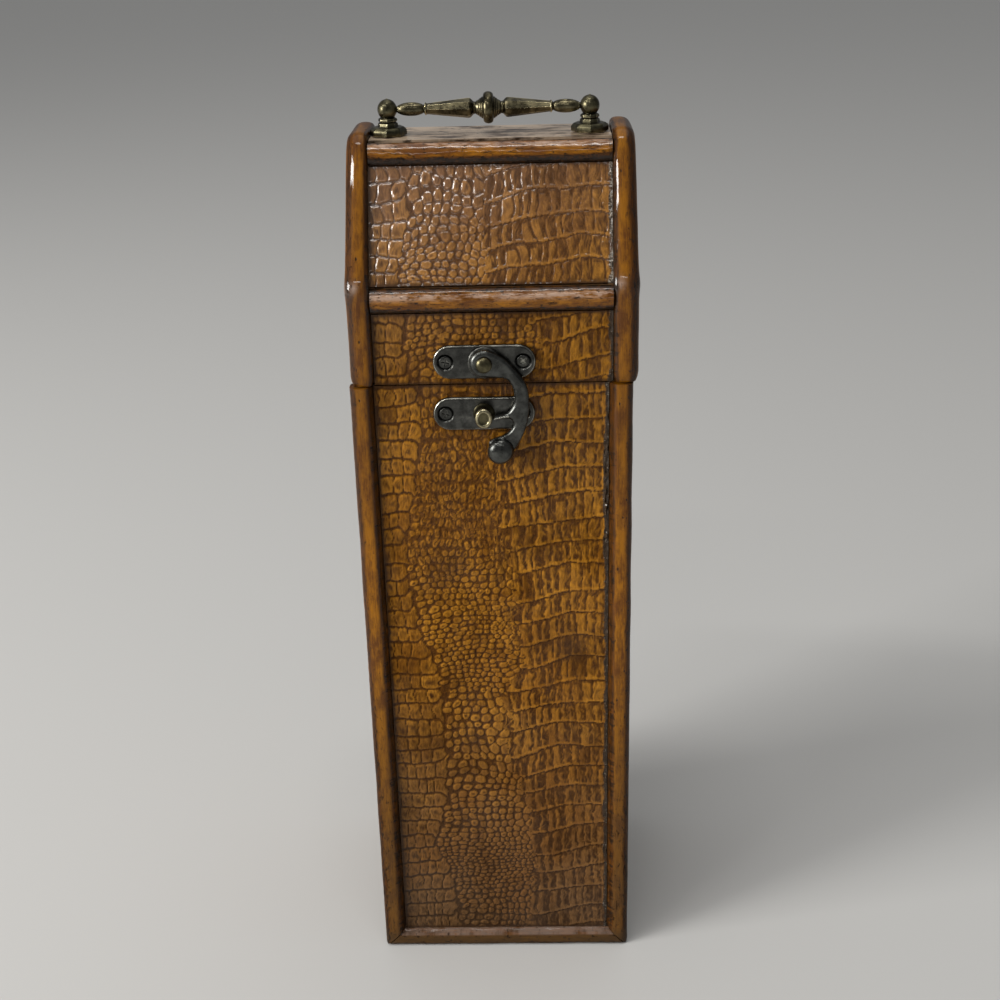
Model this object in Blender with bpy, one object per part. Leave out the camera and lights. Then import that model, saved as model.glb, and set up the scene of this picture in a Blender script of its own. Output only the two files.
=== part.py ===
"""An upright wooden wine box.

A tall leather-panelled case with wooden corner mouldings, a gabled lid hinged at the back,
a swinging hook latch at the front and a turned bar handle on top.
Metres, Z up. The origin is on the floor under the middle of the case; the front faces -Y.
"""

import math

import bmesh
import bpy
from mathutils import Matrix, Vector

MM = 0.001
QUARTER = math.pi / 2
SMOOTH_ANGLE = math.radians(40)

# Driving sizes of the case and its lid
case_width = 110 * MM
case_depth = 104 * MM
case_height = 270 * MM
seam = 0.6 * MM
lid_wall = 39.5 * MM
roof_rise = 52.2 * MM
roof_run = 33.8 * MM
lid_shift = 1.1 * MM
fit_gap = 0.3 * MM

# Boards, leather panels and felt lining
board = 6 * MM
board_inset = 4.5 * MM
top_inset = 3 * MM
leather = 1.2 * MM
felt = 1 * MM

# Wooden mouldings: corner strips and base strips of the case, rims and rails of the lid
moulding = 4.2 * MM
strip_width = 8.7 * MM
base_width = 7.7 * MM
strip_round = 2.5 * MM
strip_bevel = 2.1 * MM
strip_bevel_depth = 2.7 * MM
rim_width = 8.3 * MM
rim_top_width = 7.35 * MM
rim_round = 4 * MM
rim_edge_round = 2 * MM
rail_width = 9.5 * MM
rail_flush = 0.4 * MM
rail_side = 1 * MM
arc_steps = 4
rail_steps = 8

# Hook latch: one plate on the lid, one on the case
latch_x = -2.4 * MM
latch_rise = 9 * MM
keeper_shift = 0.6 * MM
keeper_drop = 21.1 * MM
plate_length = 40 * MM
plate_height = 13.5 * MM
plate_thick = 1.5 * MM
plate_screws = 30.2 * MM
boss_radius = 6.4 * MM
boss_height = 1.2 * MM
rivet_radius = 1.6 * MM
rivet_head_radius = 3 * MM
rivet_head_height = 1.8 * MM
hook_drop = 20.2 * MM
hook_eye_radius = 5.5 * MM
hook_thick = 2.2 * MM
knob_radius = 4.5 * MM
knob_clear = 0.6 * MM
post_base_radius = 4.4 * MM
post_neck_radius = 1.2 * MM
post_head_radius = 3.1 * MM
post_head_height = 3.4 * MM
screw_head_radius = 2.6 * MM
screw_head_height = 1.2 * MM
screw_radius = 1.2 * MM
screw_length = 8 * MM
screw_slot_width = 0.6 * MM
screw_slot_depth = 0.7 * MM

# Butt hinges on the back
hinge_inset = 24 * MM
hinge_width = 24 * MM
hinge_leaf_height = 15 * MM
hinge_leaf_thick = 1.1 * MM
hinge_web_thick = 2.1 * MM
knuckle_radius = 2.4 * MM
knuckle_proud = 0.4 * MM
pin_radius = 1 * MM
pin_head_radius = 1.9 * MM
pin_head_height = 0.9 * MM

# Bar handle on the lid
foot_clear = 0.9 * MM
handle_shift = -0.6 * MM
handle_forward = 4.5 * MM
handle_rise = 9.7 * MM
ball_radius = 3.9 * MM
foot_radius = 7 * MM
foot_height = 3.3 * MM
foot_bevel = 0.5 * MM
neck_radius = 3.9 * MM
neck_height = 1.8 * MM
waist_radius = 3.3 * MM
waist_height = 0.3 * MM
collar_radius = 3.6 * MM
collar_height = 1.3 * MM
bar_pin_radius = 1.2 * MM
bar_pin_length = 2.6 * MM
bar_bead_radius = 2.6 * MM
bar_bead_length = 10.4 * MM
bar_thin_radius = 2 * MM
bar_thick_radius = 3.7 * MM
bar_taper_length = 17.6 * MM
bar_cove_radius = 2.3 * MM
bar_ring_radius = 3.6 * MM
bar_ring_width = 1.1 * MM
bar_centre_radius = 6.1 * MM
bar_centre_width = 3.4 * MM
bolt_radius = 1.5 * MM
bolt_head_radius = 3 * MM
bolt_head_height = 1.6 * MM
bolt_reach = 3 * MM

# Counts of sides and steps, and small allowances
round_sides = 20
drill_sides = 12
handle_sides = 16
handle_facets = 8
plate_end_steps = 10
dome_steps = 6
ball_steps = 8
bead_steps = 6
middle_bead_steps = 3
bead_turn = math.radians(20)
middle_bead_turn = math.radians(40)
over_cut = 1 * MM
knuckle_spare = 0.5 * MM
screw_tip = 2 * MM
screw_tip_share = 0.3
screw_slot_share = 0.55
post_head_edge_share = 0.45
pin_edge_share = 0.7

# The hook's eye and beak are arcs round its pivot; its other edges are shares of the drop from
# the pivot to the post
hook_eye_arc = (math.radians(60), math.radians(268))
hook_eye_steps = 12
hook_beak_arc = (math.radians(-60), math.radians(-81))
hook_beak_steps = 5
hook_inner_shares = [(0.25, -0.282), (0.37, -0.297), (0.456, -0.361), (0.514, -0.451),
                     (0.545, -0.61), (0.56, -0.74)]
hook_under_shares = [(0.16, -1.155), (0.30, -1.115), (0.42, -1.11), (0.49, -1.145),
                     (0.513, -1.22), (0.50, -1.32), (0.435, -1.44), (0.35, -1.53)]
hook_outer_shares = [(0.50, -1.63), (0.60, -1.50), (0.68, -1.345), (0.75, -1.24), (0.80, -1.07),
                     (0.848, -0.89), (0.875, -0.745), (0.855, -0.565), (0.797, -0.42),
                     (0.714, -0.276), (0.63, -0.15), (0.50, 0.012), (0.35, 0.139)]
hook_knob_share = (0.27, -1.73)

# Places worked out from the driving sizes
half_width = case_width / 2
half_depth = case_depth / 2
lid_bottom = case_height + seam
roof_foot = lid_bottom + lid_wall
roof_top = roof_foot + roof_rise
roof_angle = math.atan2(roof_rise, roof_run)
top_surface = roof_top - top_inset
board_face = board_inset
board_back = board_inset + board
leather_back = board_inset - fit_gap
leather_face = leather_back - leather
wall_foot = board_back + fit_gap
hinge_y = half_depth + knuckle_proud
hinge_z = case_height + seam / 2
plate_back = -half_depth + leather_face - fit_gap
plate_front = plate_back - plate_thick
boss_front = plate_front - boss_height
hook_back = boss_front - fit_gap
hook_front = hook_back - hook_thick
pivot_z = lid_bottom + latch_rise
keeper_z = pivot_z - keeper_drop
keeper_x = latch_x - keeper_shift
post_z = pivot_z - hook_drop
hinge_spread = case_width - 2 * hinge_inset
handle_x = lid_shift + handle_shift
handle_y = -handle_forward
handle_span = case_width - 2 * (rim_top_width + foot_radius + foot_clear)
bar_z = top_surface + fit_gap + handle_rise


def clear_scene():
    """Take everything out of the opened scene."""
    for thing in list(bpy.data.objects):
        bpy.data.objects.remove(thing, do_unlink=True)


def make_material(name, colour, roughness, metallic=0.0):
    material = bpy.data.materials.new(name)
    material.use_nodes = True
    shader = material.node_tree.nodes["Principled BSDF"]
    shader.inputs["Base Color"].default_value = (*colour, 1.0)
    shader.inputs["Roughness"].default_value = roughness
    shader.inputs["Metallic"].default_value = metallic
    material.diffuse_color = (*colour, 1.0)
    return material


def make_frame(name, place):
    """An empty that carries the pieces of one body; it stands on that body's joint axis."""
    frame = bpy.data.objects.new(name, None)
    frame.location = place
    bpy.context.collection.objects.link(frame)
    return frame


def place_mesh(name, bm, material, frame, centre=None, smooth=False):
    """Turn a bmesh in scene coordinates into an object carried by a frame."""
    bmesh.ops.recalc_face_normals(bm, faces=bm.faces)
    middle = Vector(centre) if centre is not None else Vector(frame.location)
    bmesh.ops.translate(bm, verts=bm.verts, vec=-middle)
    mesh = bpy.data.meshes.new(name)
    bm.to_mesh(mesh)
    bm.free()
    if smooth:
        mesh.shade_smooth()
        mesh.set_sharp_from_angle(angle=SMOOTH_ANGLE)
    mesh.materials.append(material)
    piece = bpy.data.objects.new(name, mesh)
    piece.parent = frame
    piece.location = middle - Vector(frame.location)
    bpy.context.collection.objects.link(piece)
    return piece


def loft(bm, rings, closed=False):
    """Join rings of points with quads; the ends are capped unless the loft closes on itself."""
    loops = [[bm.verts.new(point) for point in ring] for ring in rings]
    pairs = list(zip(loops, loops[1:]))
    if closed:
        pairs.append((loops[-1], loops[0]))
    count = len(loops[0])
    for low, high in pairs:
        for i in range(count):
            j = (i + 1) % count
            bm.faces.new((low[i], low[j], high[j], high[i]))
    if not closed:
        bm.faces.new(loops[0][::-1])
        bm.faces.new(loops[-1])
    return bm


def slab(low, high):
    """A plain board between two corners."""
    bm = bmesh.new()
    size = Vector(high) - Vector(low)
    middle = (Vector(high) + Vector(low)) / 2
    bmesh.ops.create_cube(bm, size=1, matrix=Matrix.Translation(middle) @ Matrix.Diagonal((*size, 1)))
    return bm


def prism_x(outline, start, end):
    """A solid with an outline in the YZ plane, run along X; an end may be a function of height."""
    rings = []
    for at in (start, end):
        rings.append([(at(z) if callable(at) else at, y, z) for y, z in outline])
    return loft(bmesh.new(), rings)


def prism_y(outline, start, end):
    """A solid with an outline in the XZ plane, run along Y."""
    rings = [[(x, y, z) for x, z in outline] for y in (start, end)]
    return loft(bmesh.new(), rings)


def arc(centre, radius, start, end, steps):
    """Points of an arc in a plane, both ends included."""
    turns = [start + (end - start) * i / steps for i in range(steps + 1)]
    return [(centre[0] + radius * math.cos(t), centre[1] + radius * math.sin(t)) for t in turns]


def turned(profile, place, direction, sides, facets=0):
    """A turned solid: (height, radius) pairs along a direction, the ends closed by flat caps.

    With facets, a ring marked by a third value of True is a polygon with that many corners.
    """
    turn = Vector((0, 0, 1)).rotation_difference(Vector(direction)).to_matrix()
    rings = []
    for height, radius, *cut in profile:
        ring = []
        for i in range(sides):
            angle = 2 * math.pi * i / sides
            reach = radius
            if facets and cut and cut[0]:
                wedge = math.pi / facets
                reach *= math.cos(wedge) / math.cos(angle % (2 * wedge) - wedge)
            point = Vector((reach * math.cos(angle), reach * math.sin(angle), height))
            ring.append(Vector(place) + turn @ point)
        rings.append(ring)
    return loft(bmesh.new(), rings)


def dome(height, radius, rise, steps):
    """The (height, radius) pairs of a dome that starts at a height with a radius and closes small."""
    last = QUARTER * (steps - 1) / steps
    turns = [last * i / (steps - 1) for i in range(steps)]
    return [(height + rise * math.sin(t), radius * math.cos(t)) for t in turns]


def bead(middle, half_length, radius, first_turn, last_turn, steps):
    """The (height, radius) pairs of a turned bead, from its far end towards its near end."""
    turns = [first_turn + (last_turn - first_turn) * i / steps for i in range(steps + 1)]
    return [(middle + half_length * math.cos(t), radius * math.sin(t)) for t in turns]


def cut_away(bm, point, normal):
    """Remove what lies on the side of a plane that its normal points to, and close the cut."""
    parts = list(bm.verts) + list(bm.edges) + list(bm.faces)
    cut = bmesh.ops.bisect_plane(bm, geom=parts, plane_co=point, plane_no=normal, clear_outer=True)
    edges = [item for item in cut["geom_cut"] if isinstance(item, bmesh.types.BMEdge)]
    bmesh.ops.contextual_create(bm, geom=edges)


def cutter(name, bm, frame):
    """A solid that only cuts another: it is drawn as wires and never built."""
    tool = place_mesh(name, bm, brass, frame)
    tool.hide_render = True
    tool.display_type = "WIRE"
    return tool


def combine(piece, tool, operation):
    """Cut a tool out of a piece, or join it on."""
    step = piece.modifiers.new(operation.lower() + "_" + tool.name, "BOOLEAN")
    step.operation = operation
    step.solver = "EXACT"
    step.object = tool


def strip_section(front_leg, side_leg):
    """Section of a wooden strip round an outer edge: (u, v) from that edge, along its two faces."""
    points = arc((strip_round, strip_round), strip_round, math.pi, 3 * QUARTER, arc_steps)
    points += [(front_leg - strip_bevel, 0), (front_leg, strip_bevel_depth), (front_leg, moulding)]
    points += [(moulding, moulding), (moulding, side_leg), (strip_bevel_depth, side_leg)]
    points += [(0, side_leg - strip_bevel)]
    return points


def strip(name, corner, u_way, v_way, run, length, legs, mitres):
    """An L-shaped strip along an outer edge of the case, mitred at the ends that mitres marks."""
    bm = bmesh.new()
    section = strip_section(*legs)
    loft(bm, [[(u, v, w) for u, v in section] for w in (0, length)])
    for end, inward, wanted in zip((0, length), (1, -1), mitres):
        if wanted:
            point = Vector((0, 0, end + inward * fit_gap))
            cut_away(bm, point, Vector((1, 0, -inward)))
            cut_away(bm, point, Vector((0, 1, -inward)))
    axes = Matrix((u_way, v_way, run)).transposed().to_4x4()
    bmesh.ops.transform(bm, matrix=Matrix.Translation(corner) @ axes, verts=bm.verts)
    return place_mesh(name, bm, wood, box_frame, centre=corner, smooth=True)


def roof_corner(index, depth):
    """Corner of the lid's side outline, moved in by a depth: 0 front seam .. 5 back seam."""
    half = min(index, 5 - index)
    side = -1 if index < 3 else 1
    if half == 0:
        y, z = half_depth - depth, lid_bottom
    elif half == 1:
        y, z = half_depth - depth, roof_foot - depth * math.tan((QUARTER - roof_angle) / 2)
    else:
        y, z = half_depth - roof_run - depth * math.tan(roof_angle / 2), roof_top - depth
    return side * y, z


def rim_width_at(z):
    """Width of the rims at a height: they grow a little narrower up the slope."""
    share = min(max((z - roof_foot) / roof_rise, 0), 1)
    return rim_width + (rim_top_width - rim_width) * share


def panel_left(z):
    """Left limit at a height of what lies between the rims."""
    return lid_shift - half_width + rim_width_at(z) + fit_gap


def panel_right(z):
    """Right limit at a height of what lies between the rims."""
    return lid_shift + half_width - rim_width_at(z) - fit_gap


def roof_board_outline(index, outer, inner, start_gap, end_gap):
    """Section of a board or panel that follows one run of the lid's outline."""
    points = []
    for depth, order in ((outer, 1), (inner, -1)):
        start, end = Vector(roof_corner(index, depth)), Vector(roof_corner(index + 1, depth))
        way = (end - start).normalized()
        points += [start + way * start_gap, end - way * end_gap][::order]
    return [tuple(point) for point in points]


def run_ways(index):
    """Ends of one run of the lid's outline behind its rails, and the ways along it and out of it."""
    start, end = Vector(roof_corner(index, moulding)), Vector(roof_corner(index + 1, moulding))
    way = (end - start).normalized()
    return start, end, way, Vector((-way.y, way.x))


def panel_outline(index, rail_at_start, gap):
    """Section of a leather panel: square to its face beside the rail, mitred at the other end."""
    start, end, way, out = run_ways(index)
    room = rail_width + 2 * fit_gap
    points = []
    for depth, order in ((leather_face, 1), (leather_back, -1)):
        rise = out * (moulding - depth)
        if rail_at_start:
            ends = [start + way * room + rise, Vector(roof_corner(index + 1, depth)) - way * gap]
        else:
            ends = [Vector(roof_corner(index, depth)) + way * gap, end - way * room + rise]
        points += ends[::order]
    return [tuple(point) for point in points]


def rail_outline(index, near_start):
    """Half-round section of a rail at one end of a run of the lid's outline."""
    start, end, way, out = run_ways(index)
    foot = start + way * fit_gap if near_start else end - way * (fit_gap + rail_width)
    bulge = moulding - rail_flush - rail_side
    points = [foot, foot + out * rail_side]
    for i in range(1, rail_steps):
        turn = math.pi * i / rail_steps
        across = rail_width / 2 * (1 - math.cos(turn))
        points.append(foot + way * across + out * (rail_side + bulge * math.sin(turn)))
    points += [foot + way * rail_width + out * rail_side, foot + way * rail_width]
    return [tuple(point) for point in points]


def screw_holes(pieces, places, radius, start, end, frame, label):
    """Drill clearance holes along Y through several pieces."""
    for number, (x, z) in enumerate(places):
        profile = [(0, radius), (end - start, radius)]
        bm = turned(profile, (x, start, z), (0, 1, 0), drill_sides)
        tool = cutter(f"{label}_{number}", bm, frame)
        for piece in pieces:
            combine(piece, tool, "DIFFERENCE")


def pill_outline(middle_x, middle_z, length, height, steps):
    """Outline of a plate with round ends."""
    reach = (length - height) / 2
    right = arc((middle_x + reach, middle_z), height / 2, -QUARTER, QUARTER, steps)
    left = arc((middle_x - reach, middle_z), height / 2, QUARTER, 3 * QUARTER, steps)
    return right + left


def latch_plate(name, place, bore_z, frame, bossed):
    """A pill-shaped plate with two countersunk screws and a hole for its rivet or post."""
    x, z = place
    outline = pill_outline(x, z, plate_length, plate_height, plate_end_steps)
    plate = place_mesh(name, prism_y(outline, plate_front, plate_back), steel, frame, smooth=True)
    if bossed:
        disc = [(-fit_gap, boss_radius), (boss_height, boss_radius)]
        bm = turned(disc, (x, plate_front, z), (0, -1, 0), round_sides)
        combine(plate, cutter(name + "_boss", bm, frame), "UNION")
    bore = [(-plate_thick - over_cut, rivet_radius + fit_gap)]
    bore += [(boss_height + over_cut, rivet_radius + fit_gap)]
    bm = turned(bore, (x, plate_front, bore_z), (0, -1, 0), round_sides)
    combine(plate, cutter(name + "_bore", bm, frame), "DIFFERENCE")
    for side, word in ((-1, "left"), (1, "right")):
        screw_x = x + side * plate_screws / 2
        sink = screw_profile(fit_gap, over_cut)
        bm = turned(sink, (screw_x, plate_front, z), (0, 1, 0), round_sides)
        combine(plate, cutter(f"{name}_sink_{word}", bm, frame), "DIFFERENCE")
    return plate


def screw_profile(spare, proud):
    """Countersunk screw from its flat head down to its tip, grown by a clearance."""
    head = screw_head_radius + spare
    shank = screw_radius + spare
    slope_end = screw_head_height + spare
    return [(-proud, head), (0, head), (slope_end, shank), (screw_length + spare, shank)]


def latch_screw(name, place, frame):
    """A countersunk screw with a crossed recess, lying just under the face of its plate."""
    x, z = place
    profile = screw_profile(0, 0)[1:-1]
    taper = screw_radius * screw_tip_share
    profile += [(screw_length - screw_tip, screw_radius), (screw_length, taper)]
    bm = turned(profile, (x, plate_front, z), (0, 1, 0), round_sides)
    screw = place_mesh(name, bm, steel, frame, smooth=True)
    for number, (wide, tall) in enumerate(((1, 0), (0, 1))):
        reach_x = screw_slot_width / 2 + wide * (screw_head_radius * screw_slot_share)
        reach_z = screw_slot_width / 2 + tall * (screw_head_radius * screw_slot_share)
        low = (x - reach_x, plate_front - over_cut, z - reach_z)
        high = (x + reach_x, plate_front + screw_slot_depth, z + reach_z)
        combine(screw, cutter(f"{name}_slot_{number}", slab(low, high), frame), "DIFFERENCE")


def hinge_leaf(name, middle_x, up, frame):
    """Half of a butt hinge: the case's leaf has the outer knuckles, the lid's the middle one."""
    third = hinge_width / 3
    near = knuckle_radius + knuckle_spare
    leaf_y = half_depth - leather_face + fit_gap
    left = middle_x - hinge_width / 2
    faces = sorted((hinge_z + up * near, hinge_z + up * hinge_leaf_height))
    low = (left, leaf_y, faces[0])
    high = (left + hinge_width, leaf_y + hinge_leaf_thick, faces[1])
    leaf = place_mesh(name, slab(low, high), brass, frame)
    spans = [(third, 2 * third)] if up > 0 else [(0, third), (2 * third, hinge_width)]
    for number, (start, end) in enumerate(spans):
        start += fit_gap / 2 if start > 0 else 0
        end -= fit_gap / 2 if end < hinge_width else 0
        faces = sorted((hinge_z, hinge_z + up * (near + hinge_leaf_thick)))
        low = (left + start, leaf_y, faces[0])
        high = (left + end, leaf_y + hinge_web_thick, faces[1])
        combine(leaf, cutter(f"{name}_web_{number}", slab(low, high), frame), "UNION")
        place = (left + start, hinge_y, hinge_z)
        ring = [(0, knuckle_radius), (end - start, knuckle_radius)]
        bm = turned(ring, place, (1, 0, 0), round_sides)
        combine(leaf, cutter(f"{name}_knuckle_{number}", bm, frame), "UNION")
    bore = [(-over_cut, pin_radius + fit_gap), (hinge_width + over_cut, pin_radius + fit_gap)]
    bm = turned(bore, (left, hinge_y, hinge_z), (1, 0, 0), round_sides)
    combine(leaf, cutter(name + "_bore", bm, frame), "DIFFERENCE")


def hinge_pin(name, middle_x):
    """Pin with a small head at each end of the knuckles."""
    reach = hinge_width / 2 + fit_gap
    end = reach + pin_head_height
    edge = pin_head_radius * pin_edge_share
    profile = [(-end, edge), (-reach, pin_head_radius), (-reach, pin_radius)]
    profile += [(-height, radius) for height, radius in profile[::-1]]
    bm = turned(profile, (middle_x, hinge_y, hinge_z), (1, 0, 0), round_sides)
    place_mesh(name, bm, brass, box_frame, smooth=True)


def hook_outline():
    """The hook seen from the front, from its eye down the outer edge, round the knob and back."""
    eye = arc((0, 0), hook_eye_radius, *hook_eye_arc, hook_eye_steps)
    inner = [(x * hook_drop, z * hook_drop) for x, z in hook_inner_shares]
    beak_top = hook_drop + post_neck_radius + fit_gap
    beak = arc((0, 0), beak_top, *hook_beak_arc, hook_beak_steps)
    under = [(x * hook_drop, z * hook_drop) for x, z in hook_under_shares]
    outer = [(x * hook_drop, z * hook_drop) for x, z in hook_outer_shares]
    points = eye + inner + beak + under + outer
    return [(latch_x + x, pivot_z + z) for x, z in points]


clear_scene()

wood = make_material("amber_wood", (0.30, 0.115, 0.025), 0.3)
board_wood = make_material("plain_wood", (0.30, 0.19, 0.10), 0.6)
hide = make_material("embossed_leather", (0.22, 0.10, 0.035), 0.4)
lining = make_material("felt_lining", (0.10, 0.02, 0.025), 0.95)
steel = make_material("dark_steel", (0.05, 0.05, 0.05), 0.4, 1.0)
brass = make_material("antique_brass", (0.20, 0.15, 0.07), 0.35, 1.0)

box_frame = make_frame("box", (0, 0, 0))
lid_frame = make_frame("lid", (0, hinge_y, hinge_z))
hook_frame = make_frame("hook", (latch_x, hook_back, pivot_z))
handle_frame = make_frame("handle", (handle_x, handle_y, bar_z))

# Boards of the case
inner_x = half_width - board_back
inner_y = half_depth - board_back
board_x = half_width - board_face
board_y = half_depth - board_face
between = inner_x - fit_gap

bottom = slab((-board_x, -board_y, board_face), (board_x, board_y, board_back))
place_mesh("bottom_board", bottom, board_wood, box_frame)
for side, word in ((-1, "left"), (1, "right")):
    xs = sorted((side * inner_x, side * board_x))
    bm = slab((xs[0], -board_y, wall_foot), (xs[1], board_y, case_height))
    place_mesh(word + "_board", bm, board_wood, box_frame)
case_boards = {}
for side, word in ((-1, "front"), (1, "back")):
    ys = sorted((side * inner_y, side * board_y))
    bm = slab((-between, ys[0], wall_foot), (between, ys[1], case_height))
    case_boards[word] = place_mesh(word + "_board", bm, board_wood, box_frame)

# Leather panels of the case, let in between the strips
panel_foot = base_width + fit_gap
panel_x = half_width - strip_width - fit_gap
panel_y = half_depth - strip_width - fit_gap
case_leather = {}
for side, word in ((-1, "front"), (1, "back")):
    ys = sorted((side * (half_depth - leather_back), side * (half_depth - leather_face)))
    bm = slab((-panel_x, ys[0], panel_foot), (panel_x, ys[1], case_height))
    case_leather[word] = place_mesh(word + "_leather", bm, hide, box_frame)
for side, word in ((-1, "left"), (1, "right")):
    xs = sorted((side * (half_width - leather_back), side * (half_width - leather_face)))
    bm = slab((xs[0], -panel_y, panel_foot), (xs[1], panel_y, case_height))
    place_mesh(word + "_leather", bm, hide, box_frame)

# Wooden strips on the corners and round the base
corner_legs = (strip_width, strip_width)
base_legs = (base_width, base_width)
for y_side, y_word in ((-1, "front"), (1, "back")):
    for x_side, x_word in ((-1, "left"), (1, "right")):
        corner = Vector((x_side * half_width, y_side * half_depth, 0))
        u_way, v_way = Vector((-x_side, 0, 0)), Vector((0, -y_side, 0))
        name = f"corner_strip_{y_word}_{x_word}"
        strip(name, corner, u_way, v_way, Vector((0, 0, 1)), case_height, corner_legs, (True, False))
    corner = Vector((-half_width, y_side * half_depth, 0))
    ways = Vector((0, 0, 1)), Vector((0, -y_side, 0)), Vector((1, 0, 0))
    strip(f"base_strip_{y_word}", corner, *ways, case_width, base_legs, (True, True))
for x_side, x_word in ((-1, "left"), (1, "right")):
    corner = Vector((x_side * half_width, -half_depth, 0))
    ways = Vector((0, 0, 1)), Vector((-x_side, 0, 0)), Vector((0, 1, 0))
    strip(f"base_strip_{x_word}", corner, *ways, case_depth, base_legs, (True, True))

# Felt lining of the case
felt_x = inner_x - fit_gap
felt_y = inner_y - fit_gap
felt_foot = board_back + fit_gap
bm = slab((-felt_x, -felt_y, felt_foot), (felt_x, felt_y, felt_foot + felt))
place_mesh("floor_felt", bm, lining, box_frame)
felt_rings = []
for inset, height in ((0, 0), (0, 1), (felt, 1), (felt, 0)):
    z = case_height if height else felt_foot + felt + fit_gap
    x, y = felt_x - fit_gap - inset, felt_y - fit_gap - inset
    felt_rings.append([(-x, -y, z), (x, -y, z), (x, y, z), (-x, y, z)])
place_mesh("wall_felt", loft(bmesh.new(), felt_rings, closed=True), lining, box_frame)

# Boards of the lid, which follow its side outline between two end boards
lid_left, lid_right = lid_shift - half_width, lid_shift + half_width
lid_between = (lid_left + board_back + fit_gap, lid_right - board_back - fit_gap)
lid_panel = (panel_left, panel_right)
bend_gap = fit_gap / 2 / math.cos((QUARTER - roof_angle) / 2)
ridge_gap = fit_gap / 2 / math.cos(roof_angle / 2)
runs = (
    ("front", 0, 0, bend_gap),
    ("front_slope", 1, bend_gap, ridge_gap),
    ("top", 2, ridge_gap, ridge_gap),
    ("back_slope", 3, ridge_gap, bend_gap),
    ("back", 4, bend_gap, 0),
)
lid_boards = {}
for word, index, start_gap, end_gap in runs:
    face = top_inset if word == "top" else board_face
    outline = roof_board_outline(index, face, board_back, start_gap, end_gap)
    bm = prism_x(outline, *(lid_panel if word == "top" else lid_between))
    kind = wood if word == "top" else board_wood
    lid_boards[word] = place_mesh(f"lid_{word}_board", bm, kind, lid_frame)
for start, word in ((lid_left + board_face, "left"), (lid_right - board_back, "right")):
    outline = [roof_corner(i, board_face) for i in range(6)]
    ridge_z = roof_top - board_back - fit_gap
    ridge_y = (ridge_z - outline[2][1]) / math.tan(roof_angle)
    outline[2] = (outline[2][0] + ridge_y, ridge_z)
    outline[3] = (outline[3][0] - ridge_y, ridge_z)
    bm = prism_x(outline, start, start + board)
    place_mesh(f"lid_{word}_end_board", bm, board_wood, lid_frame)

# Half-round rails and leather panels of the lid
rails = (("front_bend", 0, False), ("front_top", 1, False), ("back_top", 3, True), ("back_bend", 4, True))
for word, index, near_start in rails:
    bm = prism_x(rail_outline(index, near_start), *lid_panel)
    place_mesh(f"lid_{word}_rail", bm, wood, lid_frame, smooth=True)
panels = (
    ("front", 0, False, 0),
    ("front_slope", 1, False, bend_gap),
    ("back_slope", 3, True, bend_gap),
    ("back", 4, True, 0),
)
lid_leather = {}
for word, index, rail_at_start, gap in panels:
    outline = panel_outline(index, rail_at_start, gap)
    lid_leather[word] = place_mesh(f"lid_{word}_leather", prism_x(outline, *lid_panel), hide, lid_frame)
for side, word in ((-1, "left"), (1, "right")):
    edge = lid_shift + side * half_width
    xs = sorted((edge - side * leather_back, edge - side * leather_face))
    outline = [roof_corner(i, rim_width + fit_gap) for i in range(6)]
    place_mesh(f"lid_{word}_leather", prism_x(outline, *xs), hide, lid_frame)

# Rims of the lid: rounded strips bent over both ends
for side, word in ((-1, "left"), (1, "right")):
    section = arc((rim_round, rim_round), rim_round, math.pi, 3 * QUARTER, arc_steps)
    section += arc((rim_width - rim_edge_round, rim_edge_round), rim_edge_round, -QUARTER, 0, arc_steps)
    section += [(rim_width, moulding), (moulding, moulding), (moulding, rim_width)]
    side_centre = (rim_edge_round, rim_width - rim_edge_round)
    section += arc(side_centre, rim_edge_round, QUARTER, math.pi, arc_steps)
    edge = lid_shift + side * half_width
    rings = []
    for index in range(6):
        ring = []
        narrow = rim_width - (rim_top_width if index in (2, 3) else rim_width)
        for across, depth in section:
            y, z = roof_corner(index, depth)
            share = max(across - moulding, 0) / (rim_width - moulding)
            ring.append((edge - side * (across - share * narrow), y, z))
        rings.append(ring)
    place_mesh(f"lid_{word}_rim", loft(bmesh.new(), rings), wood, lid_frame, smooth=True)

# Latch plates with their screws, and the holes behind them
hole_start = plate_back - over_cut
hole_end = -inner_y + over_cut
for name, x, z, bore_z, frame, pieces in (
    ("latch_plate", latch_x, pivot_z, pivot_z, lid_frame, (lid_leather["front"], lid_boards["front"])),
    ("keeper_plate", keeper_x, keeper_z, post_z, box_frame, (case_leather["front"], case_boards["front"])),
):
    places = [(x + side * plate_screws / 2, z) for side in (-1, 1)]
    screw_holes(pieces, places, screw_radius + fit_gap, hole_start, hole_end, frame, name + "_hole")
    latch_plate(name, (x, z), bore_z, frame, bossed=name == "latch_plate")
    for place, word in zip(places, ("left", "right")):
        latch_screw(f"{name}_screw_{word}", place, frame)

# Rivet that the hook turns on
rivet_foot = hook_front - fit_gap
rivet = [(plate_back, rivet_radius), (rivet_foot, rivet_radius)]
rivet = [(plate_back - y, radius) for y, radius in rivet]
head_start = plate_back - rivet_foot
rivet += dome(head_start, rivet_head_radius, rivet_head_height, dome_steps)
bm = turned(rivet, (latch_x, plate_back, pivot_z), (0, -1, 0), round_sides)
place_mesh("latch_rivet", bm, brass, lid_frame, smooth=True)

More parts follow.
